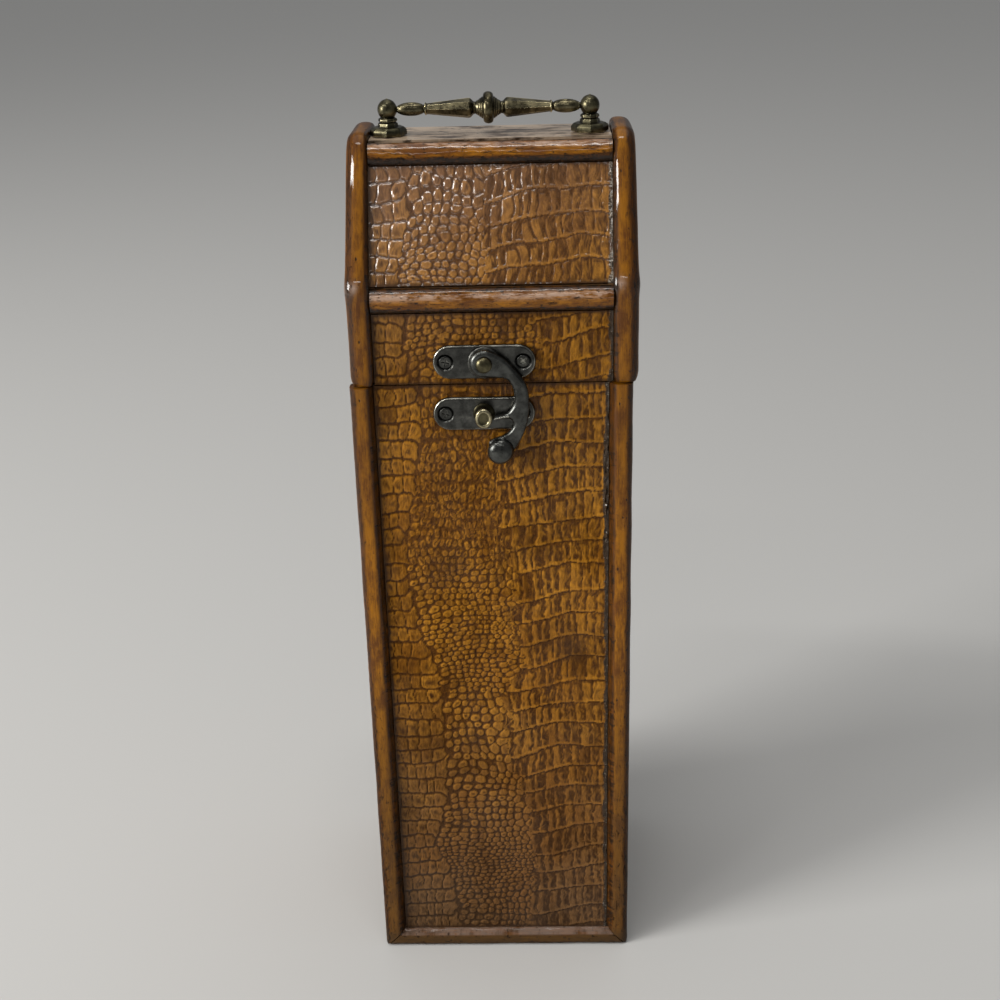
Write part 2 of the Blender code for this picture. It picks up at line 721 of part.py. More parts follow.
# Post that the hook closes on: a spigot through the plate, a conical base, a neck and a head
cone_foot = plate_thick + fit_gap
neck_start = plate_back - hook_back - fit_gap
neck_end = plate_back - hook_front + fit_gap
stud = [(0, rivet_radius), (cone_foot, rivet_radius), (cone_foot, post_base_radius)]
stud += [(neck_start, post_neck_radius), (neck_end, post_neck_radius), (neck_end, post_head_radius)]
edge_height = post_head_height * post_head_edge_share
stud += dome(neck_end + post_head_height - edge_height, post_head_radius, edge_height, dome_steps)
bm = turned(stud, (keeper_x, plate_back, post_z), (0, -1, 0), round_sides)
place_mesh("keeper_post", bm, brass, box_frame, smooth=True)

# The hook, with an eye for the rivet and a knob to pull it by
hook = place_mesh("latch_hook", prism_y(hook_outline(), hook_front, hook_back), steel, hook_frame)
knob_x = latch_x + hook_knob_share[0] * hook_drop
knob_z = pivot_z + hook_knob_share[1] * hook_drop
knob_y = -half_depth + leather_face - knob_clear - knob_radius
ball = dome(0, knob_radius, knob_radius, dome_steps)
knob = [(-height, radius) for height, radius in ball[:0:-1]] + ball
bm = turned(knob, (knob_x, knob_y, knob_z), (0, -1, 0), round_sides)
combine(hook, cutter("latch_hook_knob", bm, hook_frame), "UNION")
eye = [(-over_cut, rivet_radius + fit_gap), (hook_thick + over_cut, rivet_radius + fit_gap)]
bm = turned(eye, (latch_x, hook_back, pivot_z), (0, -1, 0), round_sides)
combine(hook, cutter("latch_hook_eye", bm, hook_frame), "DIFFERENCE")

# Hinges on the back
for side, word in ((-1, "left"), (1, "right")):
    middle = side * hinge_spread / 2
    hinge_leaf(f"hinge_{word}_box_leaf", middle, -1, box_frame)
    hinge_leaf(f"hinge_{word}_lid_leaf", middle, 1, lid_frame)
    hinge_pin(f"hinge_{word}_pin", middle)

# Handle posts on the lid, each held by a bolt from inside
for side, word in ((-1, "left"), (1, "right")):
    x = handle_x + side * handle_span / 2
    foot = top_surface + fit_gap
    neck_top = foot_height + neck_height
    collar_foot = neck_top + 2 * waist_height
    collar_top = collar_foot + collar_height
    profile = [(0, foot_radius, True), (foot_height - foot_bevel, foot_radius, True)]
    profile += [(foot_height, foot_radius - foot_bevel, True), (foot_height, neck_radius, True)]
    profile += [(neck_top, neck_radius, True), (neck_top + waist_height, waist_radius, True)]
    profile += [(collar_foot, collar_radius, True), (collar_top, collar_radius, True)]
    lowest = -math.acos(waist_radius / ball_radius)
    turns = [lowest + (QUARTER - lowest) * i / ball_steps for i in range(ball_steps)]
    profile += [(handle_rise + ball_radius * math.sin(t), ball_radius * math.cos(t)) for t in turns]
    bm = turned(profile, (x, handle_y, foot), (0, 0, 1), handle_sides, facets=handle_facets)
    post = place_mesh(f"handle_post_{word}", bm, brass, lid_frame, smooth=True)
    reach = ball_radius - bar_pin_length - fit_gap
    socket = [(reach, bar_pin_radius + fit_gap), (ball_radius + over_cut, bar_pin_radius + fit_gap)]
    bm = turned(socket, (x, handle_y, bar_z), (-side, 0, 0), drill_sides)
    combine(post, cutter(f"handle_post_{word}_socket", bm, lid_frame), "DIFFERENCE")
    bolt_room = bolt_radius + fit_gap
    inside = roof_top - board_back
    hole = [(inside - foot - over_cut, bolt_room), (bolt_reach + fit_gap, bolt_room)]
    bm = turned(hole, (x, handle_y, foot), (0, 0, 1), drill_sides)
    drill = cutter(f"handle_post_{word}_bore", bm, lid_frame)
    combine(post, drill, "DIFFERENCE")
    combine(lid_boards["top"], drill, "DIFFERENCE")
    head_top = inside - fit_gap
    bolt = [(head_top - bolt_head_height, bolt_head_radius), (head_top, bolt_head_radius)]
    bolt += [(head_top, bolt_radius), (foot + bolt_reach, bolt_radius)]
    bm = turned(bolt, (x, handle_y, 0), (0, 0, 1), handle_sides)
    place_mesh(f"handle_bolt_{word}", bm, steel, lid_frame, smooth=True)

# The turned bar: pins, beads, eight-sided tapers, coves, rings and a centre bead
half_bar = handle_span / 2 - ball_radius - fit_gap
bead_in = half_bar - bar_bead_length
taper_in = bead_in - bar_taper_length
ring_out = bar_centre_width / 2 + bar_ring_width
ends = [(half_bar + bar_pin_length, bar_pin_radius), (half_bar, bar_pin_radius)]
end_bead = bead(half_bar - bar_bead_length / 2, bar_bead_length / 2, bar_bead_radius,
                bead_turn, math.pi - bead_turn, bead_steps)
taper = [(bead_in, bar_thin_radius, True), (taper_in, bar_thick_radius, True)]
cove = [(taper_in - bar_ring_width / 2, bar_cove_radius), (ring_out + bar_ring_width / 2, bar_cove_radius)]
rings = [(ring_out, bar_ring_radius), (bar_centre_width / 2, bar_ring_radius)]
middle_bead = bead(0, bar_centre_width / 2, bar_centre_radius, middle_bead_turn, QUARTER,
                   middle_bead_steps)
half = ends + end_bead + taper + cove + rings + middle_bead
mirrored = [(-height, *rest) for height, *rest in half[:-1]]
bm = turned(mirrored + half[::-1], (handle_x, handle_y, bar_z), (1, 0, 0), 16, facets=8)
place_mesh("handle_bar", bm, brass, handle_frame, smooth=True)
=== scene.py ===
"""The looks of the upright wine box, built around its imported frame.

The case and the lid are covered in leather embossed with reptile scales, between glossy amber
wooden mouldings. The latch is dark gunmetal and the bar handle antique brass.
Lengths are in metres, but the layout of the embossing, the profiles of turned pieces and the
hook's outline are in millimetres.
"""

import math
from types import SimpleNamespace

import bpy
import numpy as np
from mathutils import Matrix, Vector


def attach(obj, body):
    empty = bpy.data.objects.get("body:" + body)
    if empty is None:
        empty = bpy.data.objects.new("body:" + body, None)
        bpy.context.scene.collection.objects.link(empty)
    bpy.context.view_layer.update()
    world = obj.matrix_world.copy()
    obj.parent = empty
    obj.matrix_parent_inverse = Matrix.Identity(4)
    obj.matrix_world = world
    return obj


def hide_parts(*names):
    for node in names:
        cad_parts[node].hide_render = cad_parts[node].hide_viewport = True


MM = 0.001
QUARTER = math.pi / 2
SIDES = ((-1, "left"), (1, "right"))

# Sizes of the box, as in the part's source
half_width, half_depth = 55 * MM, 52 * MM
case_height = 270 * MM
lid_bottom = 270.6 * MM
roof_foot = 310.1 * MM
roof_rise, roof_run = 52.2 * MM, 33.8 * MM
roof_top = roof_foot + roof_rise
roof_angle = math.atan2(roof_rise, roof_run)
lid_shift = 1.1 * MM
gap = 0.3 * MM
moulding = 4.2 * MM
overhang = 0.45 * MM
leather_face, leather_thick = 3 * MM, 1.2 * MM
strip_width, base_width = 8.7 * MM, 7.7 * MM
rim_width, rim_top_width = 8.3 * MM, 7.35 * MM
rail_width, rail_length = 9.5 * MM, 94 * MM
plate_reach, plate_radius = 20 * MM, 6.75 * MM
plate_back, plate_front = -49.3 * MM, -50.8 * MM
hook_back, hook_front, ball_y = -52.3 * MM, -54.5 * MM, -53.9 * MM
pivot_x, pivot_z = -2.4 * MM, 279.6 * MM
keeper_x, keeper_z = -3 * MM, 258.5 * MM
stud_z = 258.7 * MM
screw_reach = 15.1 * MM
hinge_reach, hinge_z = 31 * MM, 270.3 * MM
leaf_front = 50.3 * MM
handle_x, handle_y, bar_z = 0.5 * MM, -4.5 * MM, 369.3 * MM
post_reach = 39.75 * MM
foot_z = 359.6 * MM

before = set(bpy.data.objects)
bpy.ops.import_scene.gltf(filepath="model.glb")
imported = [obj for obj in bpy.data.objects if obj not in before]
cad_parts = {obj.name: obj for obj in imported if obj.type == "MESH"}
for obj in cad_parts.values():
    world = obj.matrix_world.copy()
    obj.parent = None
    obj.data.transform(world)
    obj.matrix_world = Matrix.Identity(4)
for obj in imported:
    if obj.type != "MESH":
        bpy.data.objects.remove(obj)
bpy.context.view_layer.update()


# Materials


class Tone:
    """A value that varies over a surface: one socket of a finish, with arithmetic."""

    def __init__(self, finish, socket):
        self.finish, self.socket = finish, socket

    def maths(self, operation, first, second):
        return self.finish.node("ShaderNodeMath", {"operation": operation}, (first, second))

    def __add__(self, other):
        return self.maths("ADD", self, other)

    def __sub__(self, other):
        return self.maths("SUBTRACT", self, other)

    def __rsub__(self, other):
        return self.maths("SUBTRACT", other, self)

    def __mul__(self, other):
        return self.maths("MULTIPLY", self, other)

    __radd__, __rmul__ = __add__, __mul__

    def between(self, low, high):
        """0 below low, 1 above high, smooth between; low may be the greater."""
        return self.finish.node("ShaderNodeMapRange", {"interpolation_type": "SMOOTHSTEP"}, {
            "Value": self, "From Min": low, "From Max": high})

    def mix(self, first, second):
        """The first colour where this mask is 0, the second where it is 1."""
        colours = [(*c, 1) if isinstance(c, tuple) else c for c in (first, second)]
        return self.finish.node("ShaderNodeMix", {"data_type": "RGBA"}, {
            0: self, 6: colours[0], 7: colours[1]}, out=2)

    def under(self, *layers):
        """This colour with others laid over it in turn, each by its own mask."""
        colour = self
        for mask, tint in layers:
            colour = mask.mix(colour, tint)
        return colour


class Finish:
    """One procedural material: its Principled shader and the nodes that feed it."""

    def __init__(self, name, **constants):
        self.material = bpy.data.materials.new(name)
        self.material.use_nodes = True
        self.tree = self.material.node_tree
        self.shader = self.tree.nodes["Principled BSDF"]
        for socket, value in constants.items():
            self.shader.inputs[socket.replace("_", " ")].default_value = value
        self.place = self.node("ShaderNodeTexCoord", out="Object")

    def node(self, kind, settings=None, values=(), out=0):
        """Add a node: its settings first, then its inputs by place or by name."""
        node = self.tree.nodes.new(kind)
        for key, value in (settings or {}).items():
            setattr(node, key, value)
        for key, value in values.items() if isinstance(values, dict) else enumerate(values):
            if isinstance(value, Tone):
                self.tree.links.new(value.socket, node.inputs[key])
            else:
                node.inputs[key].default_value = value
        return Tone(self, node.outputs[out])

    def spread(self, stretch, shift, base):
        """The object's place, or another vector, scaled along its axes and shifted."""
        return self.node("ShaderNodeMapping", values={
            "Vector": base or self.place, "Scale": stretch, "Location": (shift, shift, shift)})

    def noise(self, scale, detail=3, rough=0.5, stretch=(1, 1, 1), shift=0, base=None):
        """Soft noise, 0 to 1."""
        return self.node("ShaderNodeTexNoise", values={
            "Vector": self.spread(stretch, shift, base), "Scale": scale, "Detail": detail,
            "Roughness": rough})

    def cells(self, scale, stretch, base):
        """Distance to the nearest of many scattered points."""
        return self.node("ShaderNodeTexVoronoi", values={
            "Vector": self.spread(stretch, 0, base), "Scale": scale})

    def axis(self, index):
        """The object's place along one axis: 0 across, 2 up."""
        return self.node("ShaderNodeSeparateXYZ", values=(self.place,), out=index)

    def mark(self, name, out="Fac"):
        """A value that was written on the mesh."""
        return self.node("ShaderNodeAttribute", {"attribute_name": name}, out=out)

    def feed(self, bump, depth, **sockets):
        """Link values to the shader, and a height to its normal."""
        normal = self.node("ShaderNodeBump", values={"Distance": depth, "Height": bump})
        for socket, value in {**sockets, "Normal": normal}.items():
            self.tree.links.new(value.socket, self.shader.inputs[socket.replace("_", " ")])
        return self


def leather_finish(name, gloss):
    """Embossed leather: amber scales in a brown net, with streaks, smudges and an uneven gloss, and a
    painted sheen and painted shade laid into its colour.
    """
    finish = Finish(name, Coat_Roughness=0.11 + 0.03 * gloss, Coat_IOR=1.38 + 0.12 * gloss,
                    Specular_IOR_Level=0.08)
    dark, tone, edge_darkening, glue = (finish.mark(word) for word in ("dark", "tone", "edge_darkening", "glue"))
    blotch = finish.noise(30, 4, 0.6)
    crinkle = finish.noise(520, 4, 0.7)
    fine = finish.noise(1700, 3, 0.65)
    streak = finish.noise(1100, 4, 0.7, stretch=(1, 1, 0.18))
    across, height = finish.axis(0), finish.axis(2)
    slant = height - across * 0.45
    # Painted light falling off downwards: towards the bottom the amber turns greyer, a painted sheen, and
    # the brown turns darker, painted shade.
    low = height.between(0.17, 0.01)
    polish = slant.between(0.322, 0.362) * gloss
    # A pinkish-grey painted sheen over the lid, strongest towards its upper left.
    painted_sheen = slant.between(0.268, 0.372)
    # Painted shade: the leather darkens from the upper part of the case upwards and over the whole lid.
    painted_upper_shade = (height + across * 0.4).between(0.195, 0.275)
    shade = (height + across * 0.9).between(0.10, -0.02)
    light = (tone * 0.25 + blotch * 0.7 + streak * 1.1 + crinkle * 0.6).between(0.98, 1.60)
    rust = finish.noise(13, 3, 0.6, shift=8).between(0.45, 0.65)
    amber = light.mix((0.160, 0.058, 0.0022), (0.520, 0.222, 0.016)).under(
        (low * 0.92, (0.172, 0.085, 0.032)),
        (rust * 0.35, (0.240, 0.080, 0.004)))
    fleck = (fine * 0.5 + streak * 0.5).between(0.38, 0.62)
    brown = fleck.mix((0.042, 0.0140, 0.0012), (0.125, 0.044, 0.0030)).under(
        (low * 0.75, (0.040, 0.019, 0.008)))
    net_and_sheen = (dark + (fine + crinkle + streak) * 0.42 - 0.62).between(-0.10, 0.80)
    smudge = finish.noise(24, 5, 0.72, shift=3).between(0.52, 0.68)
    run = finish.noise(85, 4, 0.7, stretch=(1, 1, 0.28), shift=5).between(0.56, 0.66)
    # Darker in patches along the panel's edges beside the mouldings.
    darkening = (edge_darkening + blotch * 0.5 - 0.25).between(0.2, 0.85)
    foot = (height + blotch * 0.022).between(0.034, 0.022)
    foot = foot * (streak + smudge * 0.3).between(0.4, 0.7)
    frayed = finish.noise(190, 5, 0.75, stretch=(1, 1, 0.5), shift=6)
    ragged = (glue + frayed * 1.7 - 1.05).between(0.30, 0.48)
    crust = (fine * 0.6 + crinkle * 0.4 + gloss * 0.09).between(0.56, 0.66)
    colour = net_and_sheen.mix(amber, brown).under(
        (painted_upper_shade * (0.28 + 0.04 * gloss), (0.036, 0.013, 0.0012)),
        (painted_sheen * (1.25 - dark) * 0.20, (0.330, 0.215, 0.160)),
        (shade * 0.24, (0.040, 0.030, 0.017)),
        (smudge * 0.5 + run * 0.45, (0.050, 0.0185, 0.0030)),
        (darkening * 0.8, (0.030, 0.012, 0.004)),
        (foot * 0.7, (0.034, 0.015, 0.005)),
        (ragged * 0.9, crust.mix((0.024, 0.015, 0.008), (0.30, 0.255, 0.20))))
    return finish.feed(
        bump=crinkle * 0.9 + fine * (0.45 + ragged * 1.5) + streak * 0.8, depth=0.28 * MM,
        Base_Color=colour, Roughness=0.42 + dark * 0.16 + crinkle * 0.16 - ragged * 0.2,
        Coat_Weight=blotch.between(0.32, 0.66) * 0.5 + polish * 1.3 + ragged * 0.4)


def wood_finish(name, damage):
    """Glossy amber mouldings: brown towards the edges, partly stain and partly painted shade, with
    streaks, scuffs, small pits, a painted highlight and painted shade towards the top and the bottom.
    """
    finish = Finish(name, Coat_Roughness=0.04 + 0.05 * damage, Coat_IOR=1.45, Specular_IOR_Level=0.10)
    grain = finish.mark("grain", out="Vector")
    stain, rubbed, lacquer = (finish.mark(word) for word in ("stain", "rubbed", "lacquer"))
    fibre = finish.noise(1.7, 4, 0.65, stretch=(1.6, 0.06, 1.6), base=grain)
    line = finish.noise(4.5, 3, 0.6, stretch=(1, 0.04, 1), shift=9, base=grain)
    cloud = finish.noise(0.16, 5, 0.68, stretch=(1, 0.45, 1), base=grain)
    scuff = finish.noise(0.6, 5, 0.74, stretch=(1, 0.25, 1), shift=7, base=grain)
    chip = finish.noise(0.9, 5, 0.80, stretch=(1, 0.45, 1), shift=4, base=grain)
    height = finish.axis(2)
    low = height.between(0.20, 0.02)
    # Painted shade: the mouldings darken from the upper part of the case upwards.
    painted_upper_shade = height.between(0.17, 0.27)
    figure = (fibre * 0.5 + line * 0.25 + cloud * 1.1).between(0.74, 1.10)
    # Painted light falling off downwards: towards the bottom the amber turns darker and greyer.
    amber = figure.mix((0.120, 0.037, 0.0012), (0.370, 0.140, 0.0016)).under(
        (low * 0.75, (0.078, 0.040, 0.014)))
    vein = (line * 0.5 + fibre * 0.5).between(0.40, 0.62)
    brown = vein.mix((0.030, 0.0105, 0.0010), (0.100, 0.032, 0.0018))
    # Brown towards the edges: partly stain, partly painted shade where the mouldings turn from the light
    # or meet other parts.
    stained = (stain * 0.85 + cloud * 1.5 + fibre * 0.3 - 0.95).between(0.10, 0.58)
    deep = (stain * 0.5 + scuff * 1.2 + line * 0.2 - 0.55).between(0.62, 0.85)
    # A pinkish-grey painted highlight: a band along each rail, a spot on each of the rims' knuckles and a
    # line on the base strips' bevels.
    painted_sheen = rubbed * (cloud * 0.75 + scuff * 0.5).between(0.44 + 0.08 * damage, 0.68)
    foot = (height + cloud * 0.006).between(0.013, 0.008)
    beaten = low * (1 - rubbed * 2)
    marks = (scuff + beaten * 0.055).between(0.655 - 0.065 * damage, 0.71 - 0.065 * damage)
    flaw = (chip + stain * 0.12 + beaten * 0.05).between(0.65 - 0.045 * damage, 0.69 - 0.045 * damage)
    some = finish.noise(0.16, 2, 0.5, shift=11, base=grain).between(0.50 - 0.08 * damage, 0.58)
    pit = finish.cells(0.36, (1, 0.5, 1), grain).between(0.17, 0.07) * some
    hurt = (marks * 0.8 + flaw + pit).between(0, 1)
    colour = stained.mix(amber, brown).under(
        (deep * 0.8, (0.018, 0.0075, 0.0015)),
        (painted_upper_shade * (0.38 - 0.24 * damage), (0.030, 0.0090, 0.0004)),
        (painted_sheen * (0.36 + 0.44 * damage),
         (0.360 + 0.08 * damage, 0.260 + 0.06 * damage, 0.205 + 0.05 * damage)),
        (foot * (0.55 - rubbed * 0.5), (0.048, 0.029, 0.012)),
        (hurt * 0.9, (0.014, 0.0070, 0.0030)))
    return finish.feed(
        bump=fibre * 0.35 + line * 0.2 - pit * 2 - marks * 0.6 - flaw * 1.2 + scuff * 0.5 + cloud,
        depth=0.22 * MM, Base_Color=colour, Roughness=0.42 + marks * 0.3 + fibre * 0.12,
        Coat_Weight=0.46 + 0.16 * damage - marks * 0.4 - low * 0.34 + lacquer * 0.5)


def top_finish():
    """The lid's top: brown wood under a worn, greyish gloss, with pale streaks painted into its colour as
    a reflection.
    """
    finish = Finish("top_wood", Coat_Roughness=0.14)
    streak = finish.noise(420, 4, 0.65, stretch=(0.10, 1, 1))
    patch = finish.noise(60, 5, 0.7)
    spot = finish.noise(150, 4, 0.7, shift=4).between(0.60, 0.68)
    # Pale streaks: a painted reflection in the gloss.
    net_and_sheen = (streak * 0.8 + patch * 0.9).between(0.74, 0.96)
    colour = net_and_sheen.mix((0.055, 0.028, 0.014), (0.62, 0.47, 0.33)).under(
        (spot * 0.85, (0.03, 0.016, 0.009)))
    return finish.feed(
        bump=streak * 0.6 - spot * 0.8 + patch, depth=0.2 * MM, Base_Color=colour,
        Roughness=0.22 + patch * 0.3, Coat_Weight=patch.between(0.35, 0.6) * 0.8)


def board_finish():
    """Plain pine boards that show on the inside and along the seam."""
    finish = Finish("plain_wood", Coat_Weight=0.1)
    grain = finish.noise(220, 4, 0.6, stretch=(1, 1, 0.06))
    figure = finish.noise(40, 3, 0.55, stretch=(1, 1, 0.15))
    mask = (grain * 0.5 + figure * 0.6).between(0.3, 0.8)
    return finish.feed(
        bump=grain, depth=0.1 * MM, Base_Color=mask.mix((0.16, 0.075, 0.028), (0.34, 0.19, 0.085)),
        Roughness=0.5 + grain * 0.25)


def felt_finish():
    """Dark red felt with short loose fibres."""
    finish = Finish("felt_lining", Sheen_Weight=0.6, Sheen_Roughness=0.5)
    fibre = finish.noise(1500, 4, 0.7)
    nap = finish.noise(60, 3, 0.6)
    mask = (fibre * 0.7 + nap * 0.5).between(0.35, 0.85)
    return finish.feed(
        bump=fibre, depth=0.25 * MM, Base_Color=mask.mix((0.050, 0.007, 0.009), (0.150, 0.024, 0.028)),
        Roughness=0.85 + nap * 0.1)


def metal_finish(name, dark, body, bright, rough, wear_from=0.5):
    """Aged metal: dark patina in the hollows, the body's colour, and bright rubbed edges."""
    finish = Finish(name, Metallic=1.0)
    wear, darkening = finish.mark("wear"), finish.mark("darkening")
    patch = finish.noise(240, 5, 0.65)
    fine = finish.noise(1400, 3, 0.6)
    scratch = finish.noise(700, 3, 0.7, stretch=(0.12, 1, 1))
    shine = (wear + patch * 0.4 + scratch * 0.2 - 0.3).between(wear_from, wear_from + 0.4)
    colour = patch.between(0.36, 0.66).mix(dark, body).under(
        (shine, bright),
        (darkening.between(0.1, 0.7) * 0.9, tuple(c * 0.3 for c in dark)))
    return finish.feed(
        bump=fine * 0.5 + scratch * 0.4, depth=0.04 * MM, Base_Color=colour,
        Roughness=rough + patch * 0.18 + fine * 0.06 - shine * 0.10)


leather = leather_finish("embossed_leather", 0)
sheen_leather = leather_finish("embossed_leather_sheen", 1)
wood = wood_finish("amber_wood", 0)
worn_wood = wood_finish("amber_wood_worn", 1)
top_wood = top_finish()
pine = board_finish()
felt = felt_finish()
gunmetal = metal_finish("gunmetal", (0.042, 0.042, 0.039), (0.090, 0.090, 0.083),
                        (0.52, 0.51, 0.44), 0.18)
hook_steel = metal_finish("hook_steel", (0.044, 0.045, 0.042), (0.098, 0.100, 0.093),
                          (0.56, 0.55, 0.48), 0.17, 0.35)
brass = metal_finish("antique_brass", (0.038, 0.033, 0.020), (0.165, 0.143, 0.083),
                     (0.68, 0.60, 0.36), 0.17)
post_brass = metal_finish("post_brass", (0.052, 0.047, 0.029), (0.160, 0.142, 0.082),
                          (0.62, 0.55, 0.35), 0.20)
stud_brass = metal_finish("stud_brass", (0.060, 0.053, 0.031), (0.140, 0.122, 0.068),
                          (0.70, 0.62, 0.39), 0.20)


# Modelling


def deselect():
    """Leave edit mode and select nothing."""
    if bpy.context.object and bpy.context.object.mode != "OBJECT":
        bpy.ops.object.mode_set(mode="OBJECT")
    bpy.ops.object.select_all(action="DESELECT")


def pick(*pieces):
    """Select these pieces alone and make the last one active."""
    deselect()
    for piece in pieces:
        piece.select_set(True)
    bpy.context.view_layer.objects.active = pieces[-1]


def edit(piece, kind="VERT"):
    """Go into edit mode on one piece, with everything on it selected."""
    pick(piece)
    bpy.ops.object.mode_set(mode="EDIT")
    bpy.ops.mesh.select_mode(type=kind)
    bpy.ops.mesh.select_all(action="SELECT")


def close_up():
    """Fill what is open on the piece in edit mode, turn every face outwards and leave it."""
    bpy.ops.mesh.fill_holes(sides=0)
    bpy.ops.mesh.select_all(action="SELECT")
    bpy.ops.mesh.normals_make_consistent(inside=False)
    bpy.ops.object.mode_set(mode="OBJECT")


def apply(piece, kind, **settings):
    """Add a modifier to a piece and apply it."""
    pick(piece)
    step = piece.modifiers.new(kind.lower(), kind)
    for key, value in settings.items():
        setattr(step, key, value)
    bpy.ops.object.modifier_apply(modifier=step.name)


def cut(piece, tool, operation="DIFFERENCE"):
    """Cut a tool out of a piece, or join it on, and delete the tool."""
    apply(piece, "BOOLEAN", operation=operation, object=tool, solver="EXACT")
    bpy.data.objects.remove(tool, do_unlink=True)


def slot_tool(place, sides, turn=0):
    """A block that cuts a driver's slot, its sides in millimetres."""
    deselect()
    bpy.ops.mesh.primitive_cube_add(size=1, location=place)
    tool = bpy.context.object
    edit(tool)
    bpy.ops.transform.resize(value=[side * MM for side in sides])
    bpy.ops.object.mode_set(mode="OBJECT")
    tool.rotation_euler = (0, turn, 0)
    bpy.context.view_layer.update()
    return tool


def points_of(piece, key="co"):
    """The places of a mesh's points, or their normals."""
    found = np.zeros(len(piece.data.vertices) * 3, np.float32)
    piece.data.vertices.foreach_get(key, found)
    return found.reshape(-1, 3).astype(float)


def write_mark(piece, name, values):
    """Write one value for each point of a mesh, or one vector for each."""
    values = np.asarray(values, float)
    kind, key = ("FLOAT", "value") if values.ndim == 1 else ("FLOAT_VECTOR", "vector")
    mark = piece.data.attributes.get(name) or piece.data.attributes.new(name, kind, "POINT")
    mark.data.foreach_set(key, values.ravel().astype(np.float32))


def write_age(piece, wear=0, darkening=0):
    """Write how far a metal piece is rubbed bright and how dirty it is, 0 to 1."""
    count = len(piece.data.vertices)
    write_mark(piece, "wear", np.broadcast_to(wear, count))
    write_mark(piece, "darkening", np.broadcast_to(darkening, count))


def write_age_by_curvature(piece, low, high):
    """Rub a metal piece bright on its sharp edges and make it dirty in its hollows."""
    places, normals = points_of(piece), points_of(piece, "normal")
    ends = np.zeros(len(piece.data.edges) * 2, np.int32)
    piece.data.edges.foreach_get("vertices", ends)
    ends = ends.reshape(-1, 2)
    way = places[ends[:, 1]] - places[ends[:, 0]]
    size = np.maximum((way ** 2).sum(1), 1e-12)
    bend, count = np.zeros((2, len(places)))
    for here, sign in ((0, -1), (1, 1)):
        np.add.at(bend, ends[:, here], sign * (normals[ends[:, here]] * way).sum(1) * 2 / size)
        np.add.at(count, ends[:, here], 1)
    bend /= np.maximum(count, 1)
    write_age(piece, smooth_step(low, high, bend), smooth_step(low * 0.5, high * 0.6, -bend))


def paint(piece, finish):
    """Give a piece one material."""
    piece.data.materials.clear()
    piece.data.materials.append(finish.material)


def finish_piece(piece, finish, body, angle=35):
    """Smooth and paint a piece and hang it on its body, in place of the node that it shows."""
    pick(piece)
    bpy.ops.object.shade_smooth_by_angle(angle=math.radians(angle))
    paint(piece, finish)
    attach(piece, body)
    if piece.name.endswith("_shown"):
        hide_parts(piece.name.removesuffix("_shown"))


def lay_grid(name, places, marks):
    """A grid of faces laid over rows of places, with values written on its points."""
    rows, columns = places.shape[:2]
    deselect()
    bpy.ops.mesh.primitive_grid_add(x_subdivisions=columns - 1, y_subdivisions=rows - 1, size=1)
    piece = bpy.context.object
    piece.name = piece.data.name = name
    flat = points_of(piece)
    column = np.rint((flat[:, 0] + 0.5) * (columns - 1)).astype(int)
    row = np.rint((flat[:, 1] + 0.5) * (rows - 1)).astype(int)
    piece.data.vertices.foreach_set("co", places[row, column].ravel().astype(np.float32))
    for key, values in marks.items():
        write_mark(piece, key, values[row, column])
    return piece


def skin(name, rings, **marks):
    """A closed skin over rings of points, its marks given for each point, ring or place round."""
    rings = np.asarray(rings, float)
    for key, values in marks.items():
        values = np.broadcast_to(values, rings.shape[:2] + np.shape(values)[2:])
        marks[key] = np.concatenate([values, values[:, :1]], axis=1)
    piece = lay_grid(name, np.concatenate([rings, rings[:, :1]], axis=1), marks)
    edit(piece)
    bpy.ops.mesh.remove_doubles(threshold=0.002 * MM)
    close_up()
    return piece


def unit(vectors):
    """Vectors of the same directions and of length 1."""
    return vectors / np.linalg.norm(vectors, axis=-1, keepdims=True)


def smooth_step(low, high, value):
    """0 below low, 1 above high and smooth between, for numbers and arrays."""
    share = np.clip((value - low) / (high - low), 0, 1)
    return share * share * (3 - 2 * share)


def hump(value, middle, width):
    """1 at the middle, falling smoothly to 0 on both sides."""
    return np.exp(-((value - middle) / width) ** 2)


def ripple(u, v, seed, length, waves=6):
    """Smooth seeded noise over a plane, about -1 to 1, with bumps of about a given length."""
    draw = np.random.default_rng(seed)
    total = 0
    for _ in range(waves):
        turn, phase = draw.uniform(0, 2 * np.pi, 2)
        wave = length * draw.uniform(0.6, 1.6)
        total = total + np.sin((u * np.cos(turn) + v * np.sin(turn)) * 2 * np.pi / wave + phase)
    return total / math.sqrt(waves)


def bend(before, corner, after, into, out, count):
    """Points of a curve that rounds a corner, from a distance before it to a distance after."""
    first = corner + unit(before - corner) * into
    last = corner + unit(after - corner) * out
    return [first * (1 - t) ** 2 + corner * 2 * t * (1 - t) + last * t ** 2
            for t in np.linspace(0, 1, count)]


def rounded(corners, radii, steps):
    """A closed outline whose corners are rounded; long sides get points in between."""
    corners = np.asarray(corners, float)
    outline = []
    for index, (corner, radius) in enumerate(zip(corners, radii)):
        before, after = corners[index - 1], corners[(index + 1) % len(corners)]
        into, out = (min(radius, np.linalg.norm(other - corner) / 2) for other in (before, after))
        outline += bend(before, corner, after, into, out, steps + 1) if radius else [corner]
    dense = []
    for here, there in zip(outline, outline[1:] + outline[:1]):
        parts = max(1, int(np.linalg.norm(there - here) / (1.1 * MM)))
        dense += [here + (there - here) * i / parts for i in range(parts)]
    return np.array(dense)


